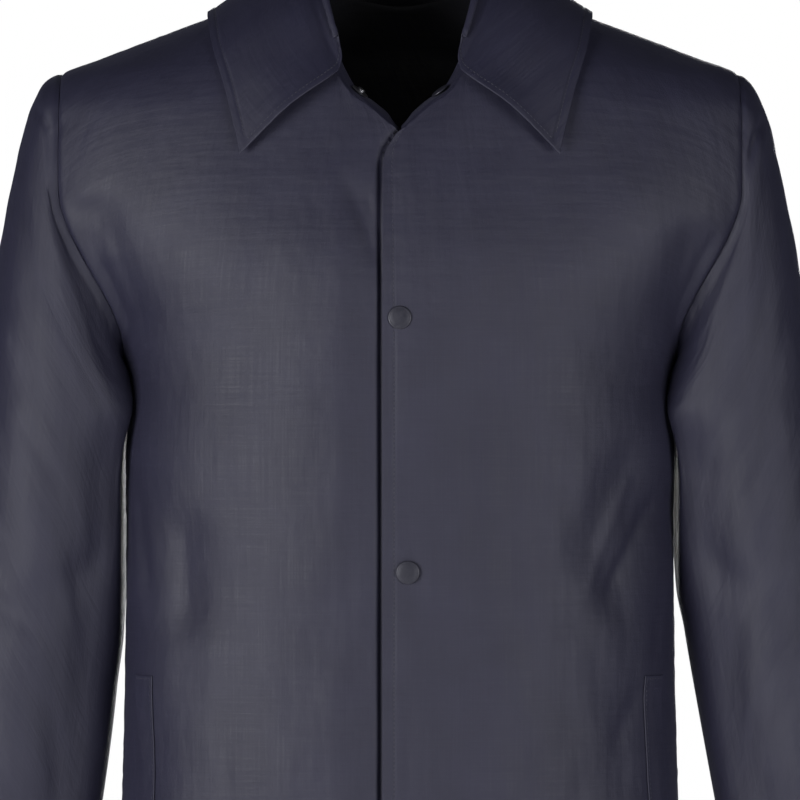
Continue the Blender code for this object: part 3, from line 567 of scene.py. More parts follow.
def onto_body(points):
    """Each point moved onto the surface, along the ray from the body's core through it."""
    z = points[..., 2]
    core = points.copy()
    core[..., 0] *= CORE_SHARE
    core[..., 1] = 0.0
    core[..., 2] = np.where(z < CORE_TOP, z, z - CORE_SHARE * (z - CORE_TOP))
    ray = points - core
    share = surface_between(0.3, 2.5, z.shape, lambda at: core + ray * at[..., None])
    return core + ray * share[..., None]


def off_body(points):
    """How far points lie off the surface, and the way straight out from it."""
    rise = slope(points)
    steep = np.linalg.norm(rise, axis=-1, keepdims=True)
    return level(points) / steep[..., 0], rise / steep


def lifted(points, clearance, share=1.0):
    """Moves what lies nearer the body than the clearance out to it, or a share of the way there."""
    for _ in range(3):
        distance, out = off_body(points)
        lack = np.maximum(clearance - distance, 0.0) * share
        points = points + out * lack[..., None]
    return points


# Outlines that the pieces share


NECK_TURN = math.degrees(math.acos((NECK_CORNER / NECK_HALF) ** (1 / NECK_SQUARE)))
# turns of the neck seam's columns, from the front to the shoulder and on to the middle of the back
FRONT_TURNS = (NECK_TURN, 76.0, 63.0, 50.0, 37.0, 24.0, 12.0, 0.0)
BACK_TURNS = (0.0, -15.0, -30.0, -45.0, -60.0, -75.0, -90.0)


def neck_curve(turns):
    """Points of the neck seam's curve, which its coarse columns lie on."""
    angle = np.radians(np.asarray(turns, float))
    x = NECK_HALF * np.sign(np.cos(angle)) * np.abs(np.cos(angle)) ** np.where(angle > 0, NECK_SQUARE, 1.0)
    vee = NECK_VEE * np.abs(x) * np.exp(-((x / NECK_VEE_REACH) ** 2))
    y = np.where(angle > 0, vee - NECK_FRONT * np.sin(angle), -NECK_BACK * np.sin(angle))
    return np.stack([x, y, height_at(x, y)], axis=-1)


NECK_DIP = float(neck_curve(NECK_TURN)[2])
vee_points = neck_curve(np.array(FRONT_TURNS[:VEE_COLUMNS]))
vee_height = through([(x, z) for x, _, z in vee_points.tolist()])


def neckline(turns):
    """Points of the neck seam on the +X side: 90 degrees at the front, 0 on the shoulder, -90 behind.

    In front it runs straight from column to column, as a V."""
    points = neck_curve(turns)
    x = points[..., 0]
    z = vee_height(np.abs(x))[..., 0]
    straight = np.stack([x, depth_at(x, z, -1), z], axis=-1)
    front = np.asarray(turns, float) > FRONT_TURNS[VEE_COLUMNS - 2]
    return np.where(front[..., None], straight, points)


def front_edge(z):
    """Reach of the front edge to its own side; below 0 it laps over the other front."""
    rise = np.clip((z - NECK_DIP + EDGE_CURVE) / EDGE_CURVE, 0.0, 1.0)
    return -FRONT_LAP + (FRONT_LAP + NECK_CORNER) * rise**EDGE_POWER


def neck_columns(face):
    return len(FRONT_TURNS if face < 0 else BACK_TURNS) - 1


def armhole(angles, face):
    """Points of the armhole seam on the +X side: 0 degrees at the shoulder, 180 at the underarm."""
    cosine = np.cos(np.radians(np.asarray(angles, float)))
    z = (SHOULDER_TIP + UNDERARM) / 2 + (SHOULDER_TIP - UNDERARM) / 2 * cosine
    rise = ease(*ARMHOLE_RISE, (z - UNDERARM) / (SHOULDER_TIP - UNDERARM))
    x = UNDERARM_REACH + (TIP_REACH - UNDERARM_REACH) * rise
    return np.stack([x, depth_at(x, z, face), z], axis=-1)


def section_points(z, angle, face):
    """Points of the level section at height z; angle 0 at the side and 90 at the middle."""
    section = body_section(z)
    depth = section[..., 1] if face < 0 else section[..., 2]
    cosine, sine = np.cos(angle), np.sin(angle)
    x = section[..., 0] * np.sign(cosine) * np.abs(cosine) ** (2 / WIDE_POWER)
    y = face * depth * np.abs(sine) ** (2 / DEEP_POWER)
    return np.stack([x, y, np.broadcast_to(z, x.shape)], axis=-1)


def edge_angle(z, face):
    """The section's angle at the front edge, or at the middle of the back."""
    if face > 0:
        return np.full(np.shape(z), math.pi / 2)
    edge = front_edge(z)
    return np.arccos(np.sign(edge) * (np.abs(edge) / body_section(z)[..., 0]) ** (WIDE_POWER / 2))


def column_cells(face):
    return neck_columns(face) + SHOULDER_COLUMNS


def column_shares(face, columns):
    """How far round the section each column mark lies, as a share of the angle from edge to side seam.

    Columns are evenly spaced, but for one as wide as a pocket welt."""
    z = np.array(UNDERARM)
    angles = np.linspace(float(edge_angle(z, face)), 0.0, 2000)
    walked = lengths(section_points(z, angles, face), 0)
    before = column_cells(face) - SIDE_COLUMNS - 1
    welt_start = walked[-1] - WELT_FROM_SIDE - WELT_WIDTH
    places = np.append(
        np.linspace(0.0, welt_start, before + 1),
        walked[-1] - np.linspace(WELT_FROM_SIDE, 0.0, SIDE_COLUMNS + 1),
    )
    places = np.interp(columns, np.arange(len(places)), places)
    return 1.0 - np.interp(places, walked, angles) / angles[0]


def lower_rows(face, rows, columns):
    """Rows from the hem up to the underarm."""
    z = np.interp(rows, np.arange(len(LOWER_HEIGHTS)), sorted(LOWER_HEIGHTS))[:, None]
    angles = edge_angle(z, face) * (1.0 - column_shares(face, columns))
    return section_points(z, angles, face)


def top_line(face, columns):
    """The neckline and the shoulder seam, from the middle to the shoulder's tip."""
    corner = neck_columns(face)
    turns = FRONT_TURNS if face < 0 else BACK_TURNS[::-1]
    neck = neckline(np.interp(columns[columns <= corner], np.arange(corner + 1), turns))
    x = NECK_HALF + (TIP_REACH - NECK_HALF) * (columns[columns > corner] - corner) / SHOULDER_COLUMNS
    shoulder = np.stack([x, np.zeros_like(x), height_at(x, np.zeros_like(x))], axis=-1)
    shoulder[-1] = (TIP_REACH, 0.0, SHOULDER_TIP)
    return np.vstack([neck, shoulder])


def upper_rows(face, bottom, rows, columns):
    """Rows above the underarm: a patch spanned between its four borders, set onto the body."""
    top = top_line(face, columns)
    steps = rows / UPPER_ROWS
    edge_z = bottom[0, 2] + (top[0, 2] - bottom[0, 2]) * steps
    edge_x = front_edge(edge_z) if face < 0 else np.zeros_like(edge_z)
    edge = np.stack([edge_x, depth_at(edge_x, edge_z, face), edge_z], axis=-1)
    arm = armhole(180.0 * (1.0 - steps), face)
    across = (columns / column_cells(face))[None, :, None]
    even, round_ = steps[:, None, None], ((1 - np.cos(np.pi * steps)) / 2)[:, None, None]
    up = (1 - across**2) * even + across**2 * round_
    edge_bow = edge[:, None] - (1 - even) * bottom[0] - even * top[0]
    arm_bow = arm[:, None] - (1 - round_) * bottom[-1] - round_ * top[-1]
    patch = (1 - up) * bottom[None] + up * top[None]
    patch = patch + (1 - across) ** EDGE_FADE * edge_bow + across * arm_bow
    patch[1:-1, 1:-1] = onto_body(patch[1:-1, 1:-1])
    return patch


def half_body(face, rows, columns):
    """The front, or half the back, on the +X side: rows from the hem up, columns from the middle."""
    split = len(LOWER_HEIGHTS) - 1
    lower = lower_rows(face, rows[rows <= split], columns)
    return np.vstack([lower[:-1], upper_rows(face, lower[-1], rows[rows >= split] - split, columns)])


def stand_frame(turns):
    """The way up the collar's stand, and the way out from its outer face, both square to the neck seam."""
    step = 0.5
    turns = np.asarray(turns, float)
    along = unit(neckline(turns - step) - neckline(turns + step))
    square = ease(STAND_SQUARE_FROM, NECK_TURN, turns)[..., None]
    along = unit((1 - square) * along + square * np.array([1.0, 0.0, 0.0]))
    normal = body_normal(neckline(turns))
    inward = unit(np.cross(normal, along))
    normal = np.cross(along, inward)
    lean = np.radians(stand_section(turns)[..., :1])
    up = inward * np.cos(lean) + normal * np.sin(lean)
    return up, normal * np.cos(lean) - inward * np.sin(lean)


# Folds


def trough(across, height, fold):
    """How deep one fold is at points given by two flat coordinates."""
    x0, z0, x1, z1, width, depth = fold
    run = np.array([x1 - x0, z1 - z0], float)
    length = np.linalg.norm(run)
    run /= length
    along = ((across - x0) * run[0] + (height - z0) * run[1]) / length
    side = (across - x0) * run[1] - (height - z0) * run[0]
    body = ease(-0.18, 0.25, along) * (1 - ease(0.75, 1.18, along))
    return depth * body * np.exp(-((side / width) ** 2))


# Sleeves


def sleeve_ring(stations, angles, side):
    """A sleeve's points on the +X side, stations down it and angles round it.

    Angle 0 is outermost, 90 in front, 180 against the body. The rings turn from the armhole's
    shape to level ovals down the arm, and lie clear of the body's side."""
    rows = sleeve_section(stations)[:, None, :]
    outer_z, inner_z = rows[..., 0], rows[..., 3]
    outer_x = rows[..., 1] if side < 0 else rows[..., 2]
    inner_x = rows[..., 4] if side < 0 else rows[..., 5]
    middle = np.stack([(outer_x + inner_x) / 2, np.zeros_like(outer_x), (outer_z + inner_z) / 2], axis=-1)
    reach = np.stack([(outer_x - inner_x) / 2, np.zeros_like(outer_x), (outer_z - inner_z) / 2], axis=-1)
    lift = np.stack([-reach[..., 2], reach[..., 1], reach[..., 0]], axis=-1)

    turn = np.radians(angles)
    front = armhole(angles, -1)
    back = armhole(360.0 - angles, 1)
    seam = np.where((np.sin(turn) >= 0)[:, None], front, back)
    size = np.sum(reach[:1] ** 2, axis=-1)
    seam_out = np.sum((seam - middle[:1]) * reach[:1], axis=-1) / size
    seam_lift = np.sum((seam - middle[:1]) * lift[:1], axis=-1) / size
    oval_out = np.sign(np.cos(turn)) * np.abs(np.cos(turn)) ** (2 / SLEEVE_POWER)
    oval_side = np.sign(np.sin(turn)) * np.abs(np.sin(turn)) ** (2 / SLEEVE_POWER)
    centre = (rows[..., 6] + rows[..., 7]) / 2
    half = (rows[..., 7] - rows[..., 6]) / 2
    blend = ease(0.0, CAP_STATIONS, np.asarray(stations, float))[:, None]

    out = (1 - blend) * seam_out + blend * oval_out
    rise = (1 - blend) * seam_lift
    depth = (1 - blend) * seam[None, :, 1] + blend * (centre - half * oval_side)
    points = middle + out[..., None] * reach + rise[..., None] * lift
    points[..., 1] = depth
    return clear_of_body(points, np.asarray(stations, float))


def clear_of_body(points, stations):
    """Moves what would lie in the body's side out to just clear of it."""
    full = ease(0.0, CLEAR_STATIONS, stations)[:, None]
    for _ in range(3):
        distance, out = off_body(points)
        lack = SLEEVE_CLEAR * full - distance
        push = (lack + np.sqrt(lack**2 + SLEEVE_EASE**2 * full)) / 2
        low = 1 - ease(UNDERARM, UNDERARM + CLEAR_FADE, points[..., 2])
        push = np.where(lack > -MOST_PUSH, push, 0.0) * low * ease(0.0, 1.0, stations)[:, None]
        points = points + out * np.minimum(push, MOST_PUSH)[..., None] * 0.8
    return points


def grid_normals(grid, closed=False):
    """Unit normals of a grid of points, along columns crossed with up the rows."""
    if closed:
        wide = np.concatenate([grid[:, -1:], grid, grid[:, :1]], axis=1)
        along = wide[:, 2:] - wide[:, :-2]
    else:
        along = np.gradient(grid, axis=1)
    return unit(np.cross(along, np.gradient(grid, axis=0)))


def miter(first, second):
    """The direction in which two walls that meet along a seam both get their thickness."""
    middle = unit(first + second)
    share = np.maximum(np.sum(middle * first, axis=-1, keepdims=True), 1 / LONGEST_MITER)
    return middle / share


def seam_shift(line, miters, inside, closed=False, gap=SEAM_GAP):
    """Half the seam's gap, across its line and away from the neighbouring piece."""
    if closed:
        wide = np.vstack([line[-1:], line, line[:1]])
        along = wide[2:] - wide[:-2]
    else:
        along = np.gradient(line, axis=0)
    across = unit(np.cross(miters, along))
    across *= np.sign(np.sum(across * (inside - line), axis=1, keepdims=True))
    return across * gap / 2


def mirrored(grid):
    return grid * np.array([-1.0, 1.0, 1.0])


def facing(normals, place, direction):
    """The normals, all turned round if the one at the place points against the direction."""
    return normals * np.sign(np.dot(normals[place], direction))


def resampled(path, shares):
    """Rows at the given shares of the way along smooth curves through the rows of a path."""
    fine_rows = 200
    at = through([(k, *np.ravel(row)) for k, row in enumerate(path)])
    fine = at(np.linspace(0, len(path) - 1, fine_rows)).reshape(fine_rows, *path.shape[1:])
    walked = lengths(fine, 0)
    columns = [
        looked_up(walked[:, k], fine[:, k], np.array(shares) * walked[-1, k]) for k in range(path.shape[1])
    ]
    return np.stack(columns, axis=1)


# Pieces, each made on the +X side as a grid of points with the directions of its wall's thickness


def toward(normals, border, distance):
    """Directions that turn to a seam's shared ones near it."""
    weight = np.exp(-((distance / SEAM_BLEND) ** 2))[..., None]
    return normals * (1 - weight) + border * weight


def sleeve(side, stations, angles):
    """A sleeve, with the directions that its cap shares with the body along the armhole."""
    grid = sleeve_ring(stations, angles, side)
    normals = facing(grid_normals(grid, closed=True), (-1, 0), (1, 0, 0))
    seam = miter(body_normal(grid[0]), normals[0])
    normals = toward(normals, seam[None], lengths(grid, 0))
    grid[0] += seam_shift(grid[0], seam, grid[1], closed=True)
    return grid, normals, seam


def neck_points(turns, side):
    """The neck seam on one half, with the drop of the front that lies underneath."""
    points = neckline(turns)
    if side < 0:
        drop = UNDER_DROP * (1 - ease(*UNDER_FADE, points[:, 0])) * (turns > 0)
        points = points - body_normal(points) * drop[:, None]
    return points


def stand_half(turns, side, shares):
    """The collar's stand on one half, from the neck seam up to where the collar rolls over."""
    up, _ = stand_frame(turns)
    rise = up * stand_section(turns)[:, 1:2]
    return neck_points(turns, side) + rise * shares[:, None, None]


def fall_half(turns, side, shares):
    """The collar's fall on one half, from the stand's top over the roll and down to its edge."""
    top = stand_half(turns, side, np.ones(1))[0]
    up, out = stand_frame(turns)
    over, slip, bulge, x, y, lift = fall_section(turns).T
    foot = np.stack([x, y, height_at(x, y)], axis=-1)
    foot = foot + body_normal(foot) * lift[:, None]
    roll = 1.0 - FRONT_CREASE * ease(10.0, 50.0, turns)[:, None]
    crest = top + (up * ROLL_UP + out * ROLL_OUT * ROLL_SHARE) * roll
    brow = top + (out * ROLL_OUT + up * ROLL_UP * ROLL_SHARE) * roll
    seam = neckline(turns + slip)
    seam = seam + body_normal(seam) * over[:, None]
    middle = (seam + foot) / 2
    middle = middle + body_normal(middle) * bulge[:, None]
    return resampled(np.stack([top, crest, brow, seam, middle, foot]), shares)


def both_halves(make, turns, shares):
    """A strip round the neck, from the end of the right front to the end of the left one."""
    halves = mirrored(make(turns, -1, shares)), make(turns, 1, shares)[:, ::-1][:, 1:]
    return np.concatenate(halves, axis=1)


def collar(turns, stand_shares, fall_shares):
    """The stand and the fall with their directions, and the directions along the neck seam's halves."""
    bare = int(np.argmin(np.abs(turns - FALL_ROWS[-1][0])))
    fall_turns = turns[bare:]
    half = len(turns) - 1
    stand = both_halves(stand_half, turns, stand_shares)
    stand_normals = facing(grid_normals(stand), (0, half), (0, 1, 0))
    fall = lifted(both_halves(fall_half, fall_turns, fall_shares), FALL_CLEAR)
    fall_normals = facing(grid_normals(fall), (-1, len(fall_turns) - 1), (0, 1, 0))

    # the fall's visible side carries on from the stand's inner one
    covered = slice(bare, -bare)
    fold = miter(stand_normals[-1, covered], -fall_normals[0])
    below = lengths(stand[::-1], 0)[::-1]
    stand_normals[:, covered] = toward(stand_normals[:, covered], fold[None], below[:, covered])
    fall_normals = toward(fall_normals, -fold[None], lengths(fall, 0))
    line = stand[-1, covered].copy()
    stand[-1, covered] += seam_shift(line, fold, stand[-2, covered])
    fall[0] += seam_shift(line, fold, fall[1])

    neck = miter(body_normal(stand[0]), stand_normals[0])
    stand_normals = toward(stand_normals, neck[None], lengths(stand, 0))
    stand[0] += seam_shift(stand[0], neck, stand[1], gap=NECK_GAP)
    halves = {-1: mirrored(neck[: half + 1]), 1: neck[half:][::-1]}
    return (stand, stand_normals), (fall, fall_normals), halves


def looked_up(places, vectors, wanted):
    """Vectors at wanted places, from those at rising places."""
    return np.stack([np.interp(wanted, places, vectors[:, axis]) for axis in range(3)], axis=-1)


def body_half(side, face, rows, columns, arm_seam, neck_seam):
    """A front, or half the back, sewn to the sleeve and the collar. Each seam is (places, directions)."""
    grid = half_body(face, rows, columns)
    if side < 0 and face < 0:
        drop = UNDER_DROP * (1 - ease(*UNDER_FADE, grid[..., 0]))
        grid = grid - body_normal(grid) * drop[..., None]
    normals = body_normal(grid)
    split = len(LOWER_HEIGHTS) - 1
    underarm = int(np.searchsorted(rows, split))
    last = int(np.searchsorted(columns, neck_columns(face)))
    angles = 180.0 * (1.0 - (rows[underarm:] - split) / UPPER_ROWS)
    arm = looked_up(*arm_seam, angles if face < 0 else 360.0 - angles)
    turns = np.array(FRONT_TURNS if face < 0 else BACK_TURNS[::-1])
    neck = looked_up(*neck_seam, np.interp(columns[: last + 1], np.arange(len(turns)), turns))
    from_side = lengths(grid[:, ::-1], 1)[:, ::-1]
    from_top = lengths(grid[::-1], 0)[::-1]
    normals[underarm:] = toward(normals[underarm:], arm[:, None], from_side[underarm:])
    normals[:, : last + 1] = toward(normals[:, : last + 1], neck[None], from_top[:, : last + 1])

    shift = np.zeros_like(grid)
    side_seam, shoulder, neck_part = slice(0, underarm + 1), slice(last, None), slice(0, last + 1)
    shift[side_seam, -1] += seam_shift(grid[side_seam, -1], normals[side_seam, -1], grid[side_seam, -2])
    shift[underarm:, -1] += seam_shift(grid[underarm:, -1], arm, grid[underarm:, -2])
    shift[-1, neck_part] += seam_shift(grid[-1, neck_part], neck, grid[-2, neck_part], gap=NECK_GAP)
    shift[-1, shoulder] += seam_shift(grid[-1, shoulder], normals[-1, shoulder], grid[-2, shoulder])
    return grid + shift, normals


# Finer grids


def steps_along(counts, first, last, ends):
    """Marks counted in cells, so many to each, with closer ones in millimetres from either end."""
    plain = np.concatenate([cell + np.arange(count) / count for cell, count in enumerate(counts)])
    plain = np.append(plain, len(counts))
    low = np.array(first) / ends[0]
    high = len(counts) - np.array(last) / ends[1]
    if len(first):
        plain = plain[plain > low.max() + 0.5 / counts[0]]
    if len(last):
        plain = plain[plain < high.min() - 0.5 / counts[-1]]
    return np.sort(np.concatenate([plain, low, high]))


def lengths(grid, axis):
    """How far each point lies from the first one, along an axis of the grid."""
    steps = np.linalg.norm(np.diff(grid, axis=axis), axis=-1)
    start = np.zeros_like(np.take(steps, [0], axis=axis))
    return np.cumsum(np.concatenate([start, steps], axis=axis), axis=axis)


def waves(u, v, wide, long, seed):
    """Smooth unevenness of about -1 to 1, in bumps of about wide by long."""
    rng = np.random.default_rng(seed)
    total = np.zeros(np.broadcast(u, v).shape)
    for _ in range(WAVE_COUNT):
        a, b = rng.normal(0, 1, 2)
        total += np.cos(a * u * math.pi / wide + b * v * math.pi / long + rng.uniform(0, 2 * math.pi))
    return total / math.sqrt(WAVE_COUNT)


def seam_dip(distance, depth=SEAM_DIP):
    return -depth * np.exp(-((distance / SEAM_REACH) ** 2))


def near_underarm(z):
    """1 where the side seam meets the armhole and 0 away from it."""
    return np.exp(-(((z - UNDERARM) / UNDERARM_REST) ** 2))


def puckers(distance, along, size, seed):
    """Small gathers that stand square to a seam and die out away from it."""
    wave = waves(along, np.zeros(1), PUCKER_LENGTH, 1.0, seed)
    return size * wave * np.exp(-((distance / PUCKER_REACH) ** 2))


def turned_edge(distance, stitch, along, seed, depth=STITCH_PULL):
    """Relief of an edge turned in and topstitched: fuller outside the stitches, pulled in along them."""
    full = TURN_RISE * (1 - ease(stitch - 0.8, stitch + 0.5, distance))
    pull = -depth * np.exp(-(((distance - stitch) / PULL_WIDTH) ** 2))
    return full + pull + puckers(distance - stitch, along, STITCH_PUCKER, seed)


def rounding(distance):
    """Share of its thickness that cloth has this far from a turned edge."""
    near = np.clip(distance / EDGE_ROUND, 0, 1)
    return np.sqrt(np.maximum(1 - (1 - near) ** 2, 0.01))


# Meshes


def flat_mesh(name, points, polygons, looks, materials, cloth=None):
    """An object from points in millimetres and polygons with one corner count."""
    mesh = bpy.data.meshes.new(name)
    mesh.vertices.add(len(points))
    mesh.vertices.foreach_set("co", (points * MM).astype(np.float32).ravel())
    corners = polygons.shape[1]
    mesh.loops.add(polygons.size)
    mesh.loops.foreach_set("vertex_index", polygons.astype(np.int32).ravel())
    mesh.polygons.add(len(polygons))
    mesh.polygons.foreach_set("loop_start", np.arange(0, polygons.size, corners, dtype=np.int32))
    mesh.polygons.foreach_set("loop_total", np.full(len(polygons), corners, dtype=np.int32))
    mesh.polygons.foreach_set("material_index", looks.astype(np.int32))
    for material in materials:
        mesh.materials.append(material)
    if cloth is not None:
        layer = mesh.attributes.new("cloth", "FLOAT_VECTOR", "POINT")
        layer.data.foreach_set("vector", cloth.astype(np.float32).ravel())
    mesh.update(calc_edges=True)
    mesh.validate()
    mesh.shade_smooth()
    made = bpy.data.objects.new(name, mesh)
    bpy.context.scene.collection.objects.link(made)
    return made


def shell(name, grid, normals, thickness, materials, closed=False, cloth=None):
    """A closed thin shell about a grid, with a row-and-column place in millimetres for its weave."""
    rows, columns = grid.shape[:2]
    half = normals * (thickness / 2)[..., None]
    points = np.vstack([(grid + half).reshape(-1, 3), (grid - half).reshape(-1, 3)])
    index = np.arange(rows * columns).reshape(rows, columns)
    if closed:
        index = np.concatenate([index, index[:, :1]], axis=1)
    quads = np.stack([index[:-1, :-1], index[:-1, 1:], index[1:, 1:], index[1:, :-1]], axis=-1).reshape(-1, 4)
    total = rows * columns
    lines = [index[0, ::-1], index[-1]]
    if not closed:
        lines += [index[:, 0], index[::-1, -1]]
    rims = np.vstack([
        np.stack([line[:-1], line[1:], line[1:] + total, line[:-1] + total], axis=-1) for line in lines
    ])
    polygons = np.vstack([quads, quads[:, ::-1] + total, rims])
    looks = np.concatenate([np.zeros(len(quads)), np.ones(len(quads)), np.zeros(len(rims))])
    middle = quads[len(quads) // 2]
    facing_way = np.cross(points[middle[1]] - points[middle[0]], points[middle[3]] - points[middle[0]])
    if np.dot(facing_way, normals.reshape(-1, 3)[middle[0]]) < 0:
        polygons = polygons[:, ::-1]
    across, along = cloth or (lengths(grid, 1), lengths(grid, 0))
    cloth = np.stack([across, along, np.zeros((rows, columns))], axis=-1)
    both = np.vstack([cloth.reshape(-1, 3)] * 2)
    return flat_mesh(name, points, polygons, looks, materials, both)


def trace(points, normals, field, value):
    """Where a field that rises along each row reaches a value, and the directions there."""
    rows = np.arange(len(points))
    count = field.shape[1]
    place = np.array([np.interp(value, line, np.arange(count)) for line in field])
    k = np.minimum(place.astype(int), count - 2)
    t = (place - k)[:, None]
    line = points[rows, k] * (1 - t) + points[rows, k + 1] * t
    return line, unit(normals[rows, k] * (1 - t) + normals[rows, k + 1] * t)


def tube_faces(sides, rings):
    """Quads between rings of points that follow one another."""
    ring = np.arange(sides)
    after = (ring + 1) % sides
    return np.vstack([
        np.stack([ring + low, after + low, after + low + sides, ring + low + sides], axis=-1)
        for low in range(0, sides * (rings - 1), sides)
    ])


def stitches(name, lines, look):
    """Thread stitches along lines of (points, directions), as one mesh of short tapered tubes."""
    turn = np.arange(THREAD_SIDES) * 2 * np.pi / THREAD_SIDES
    template = np.array([
        (along, math.cos(angle) * width, math.sin(angle) * width + sink)
        for along, width, sink in THREAD_RINGS
        for angle in turn
    ])
    placed = []
    for line, normals in lines:
        walked = lengths(line, 0)
        starts = np.arange(STITCH_PITCH / 2, walked[-1] - STITCH_PITCH, STITCH_PITCH)
        ends = starts + STITCH_PITCH * STITCH_SHARE
        first, last = looked_up(walked, line, starts), looked_up(walked, line, ends)
        up = looked_up(walked, normals, (starts + ends) / 2)
        along = last - first
        up = unit(up - unit(along) * np.sum(up * unit(along), axis=-1, keepdims=True))
        side = np.cross(unit(along), up)
        placed.append(
            first[:, None]
            + along[:, None] * template[None, :, :1]
            + side[:, None] * template[None, :, 1:2] * THREAD_RADIUS
            + up[:, None] * template[None, :, 2:] * THREAD_RADIUS
        )
    points = np.concatenate(placed)
    faces = tube_faces(THREAD_SIDES, len(THREAD_RINGS))
    polygons = np.concatenate([faces + number * len(template) for number in range(len(points))])
    return flat_mesh(name, points.reshape(-1, 3), polygons, np.zeros(len(polygons)), [look])


# Materials


def new_material(name):
    material = bpy.data.materials.new(name)
    material.use_nodes = True
    return material


def set_inputs(material, node, inputs):
    """Sets values or links on a node's inputs, named with _ for a blank, or numbered as _0."""
    for name, value in inputs.items():
        socket = node.inputs[int(name[1:])] if name[1:].isdigit() else node.inputs[name.replace("_", " ")]
        if isinstance(value, bpy.types.NodeSocket):
            material.node_tree.links.new(value, socket)
        else:
            socket.default_value = value


def shade(material, kind, **inputs):
    node = material.node_tree.nodes.new("ShaderNode" + kind)
    set_inputs(material, node, inputs)
    return node


def surface(material, **inputs):
    """Sets a material's own surface."""
    set_inputs(material, material.node_tree.nodes["Principled BSDF"], inputs)


def math_node(material, operation, first, second=0.0):
    node = shade(material, "Math", _0=first, _1=second)
    node.operation = operation
    return node.outputs[0]


def ramp(material, value, low, high):
    """A colour or grey that goes from low to high with a value."""
    node = shade(material, "ValToRGB", Fac=value)
    for stop, (place, colour) in zip(node.color_ramp.elements, (low, high)):
        stop.position = place
        stop.color = (*colour, 1.0) if isinstance(colour, tuple) else (colour, colour, colour, 1.0)
    return node.outputs["Color"]


def noise(material, vector, scale, detail, stretch=(1, 1, 1)):
    placed = shade(material, "Mapping", Vector=vector, Scale=tuple(scale * part for part in stretch))
    return shade(material, "TexNoise", Vector=placed.outputs[0], Scale=1.0, Detail=detail).outputs[0]


def crossed(material, place, *stretches):
    """Two noises, each drawn out along one of the cloth's threads."""
    return math_node(material, "ADD", *(noise(material, place, 1.0, 2.0, stretch) for stretch in stretches))


def nylon(name, dark, light):
    """Plain-woven nylon: fine weave, faint streaks along its threads and a soft uneven sheen."""
    material = new_material(name)
    place = shade(material, "Attribute")
    place.attribute_name = "cloth"
    place = place.outputs["Vector"]
    split = shade(material, "SeparateXYZ", Vector=place)
    thread = 2 * math.pi / THREAD_SPACING
    threads = [
        math_node(material, "SINE", math_node(material, "MULTIPLY", split.outputs[axis], thread))
        for axis in (0, 1)
    ]
    weave = math_node(material, "MULTIPLY", *threads)
    streaks = crossed(material, place, (0.02, 1.1, 1), (0.9, 0.015, 1))
    ripples = crossed(material, place, (0.02, 0.16, 1), (0.14, 0.02, 1))
    crumple = math_node(material, "ADD", ripples, noise(material, place, 0.09, 4.0))
    folds = shade(material, "Bump", Strength=0.5, Distance=0.0006, Height=crumple)
    lines = shade(material, "Bump", Strength=0.35, Distance=0.00008, Height=streaks, Normal=folds.outputs[0])
    cloth = shade(material, "Bump", Strength=0.5, Distance=0.00004, Height=weave, Normal=lines.outputs[0])
    surface(
        material,
        Base_Color=ramp(material, noise(material, place, 0.02, 4.0), (0.35, dark), (0.7, light)),
        Roughness=ramp(material, streaks, (0.7, NYLON_ROUGH[0]), (1.3, NYLON_ROUGH[1])),
        Sheen_Weight=NYLON_SHEEN,
        Sheen_Roughness=0.45,
        Sheen_Tint=(0.72, 0.74, 1.0, 1.0),
        Specular_IOR_Level=NYLON_SPECULAR,
        Normal=cloth.outputs[0],
    )
    return material


def metal(name, dark, light, metallic, rough):
    """Plated or enamelled metal with faint handling marks."""
    material = new_material(name)
    marks = noise(material, shade(material, "TexCoord").outputs["Object"], 900.0, 3.0)
    surface(
        material,
        Base_Color=ramp(material, marks, (0.3, dark), (0.75, light)),
        Roughness=ramp(material, marks, (0.3, rough * 0.8), (0.75, rough * 1.25)),
        Metallic=metallic,
        Normal=shade(material, "Bump", Strength=0.2, Distance=0.00003, Height=marks).outputs[0],
    )
    return material


def thread_look():
    material = new_material("navy_thread")
    twist = noise(material, shade(material, "TexCoord").outputs["Object"], 2500.0, 1.0)
    colour = ramp(material, twist, (0.3, THREAD_DARK), (0.7, THREAD_LIGHT))
    surface(material, Base_Color=colour, Roughness=0.6, Sheen_Weight=0.2)
    return material


# The jacket's pieces


def ready(piece, node=None):
    """A piece on the jacket's one body, standing for a node if one is named."""
    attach(piece, "root")
    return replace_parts(piece, node) if node else piece


def cross(grid, normals, distance, value):
    """A row of stitches across the columns, where their distance from the last row reaches a value."""
    return upward(grid[::-1], normals[::-1], distance[::-1], value)


def upward(grid, normals, distance, value):
    """A row of stitches across the columns, where their distance from the first row reaches a value."""
    return trace(grid.swapaxes(0, 1), normals.swapaxes(0, 1), distance.T, value)


def finish(name, grid, normals, thick, share, lines, looks, cut, held, rests_on, inner="inside", **form):
    """The share is how much of its thickness the cloth has at each point."""
    lines = [(line + up * thick / 2, up) for line, up in lines]
    if name.endswith("right"):
        grid, normals = mirrored(grid), mirrored(normals)
        lines = [(mirrored(line), mirrored(up)) for line, up in lines]
    # inner faces take the darkened navy, painted shade, unless another look is named
    materials = [looks["outside"], looks[inner]]
    piece = ready(shell(name + "_cloth", grid, normals, thick * share, materials, **form), name)
    sewing = [ready(stitches(name + "_stitches", lines, looks["thread"]))] if lines else []


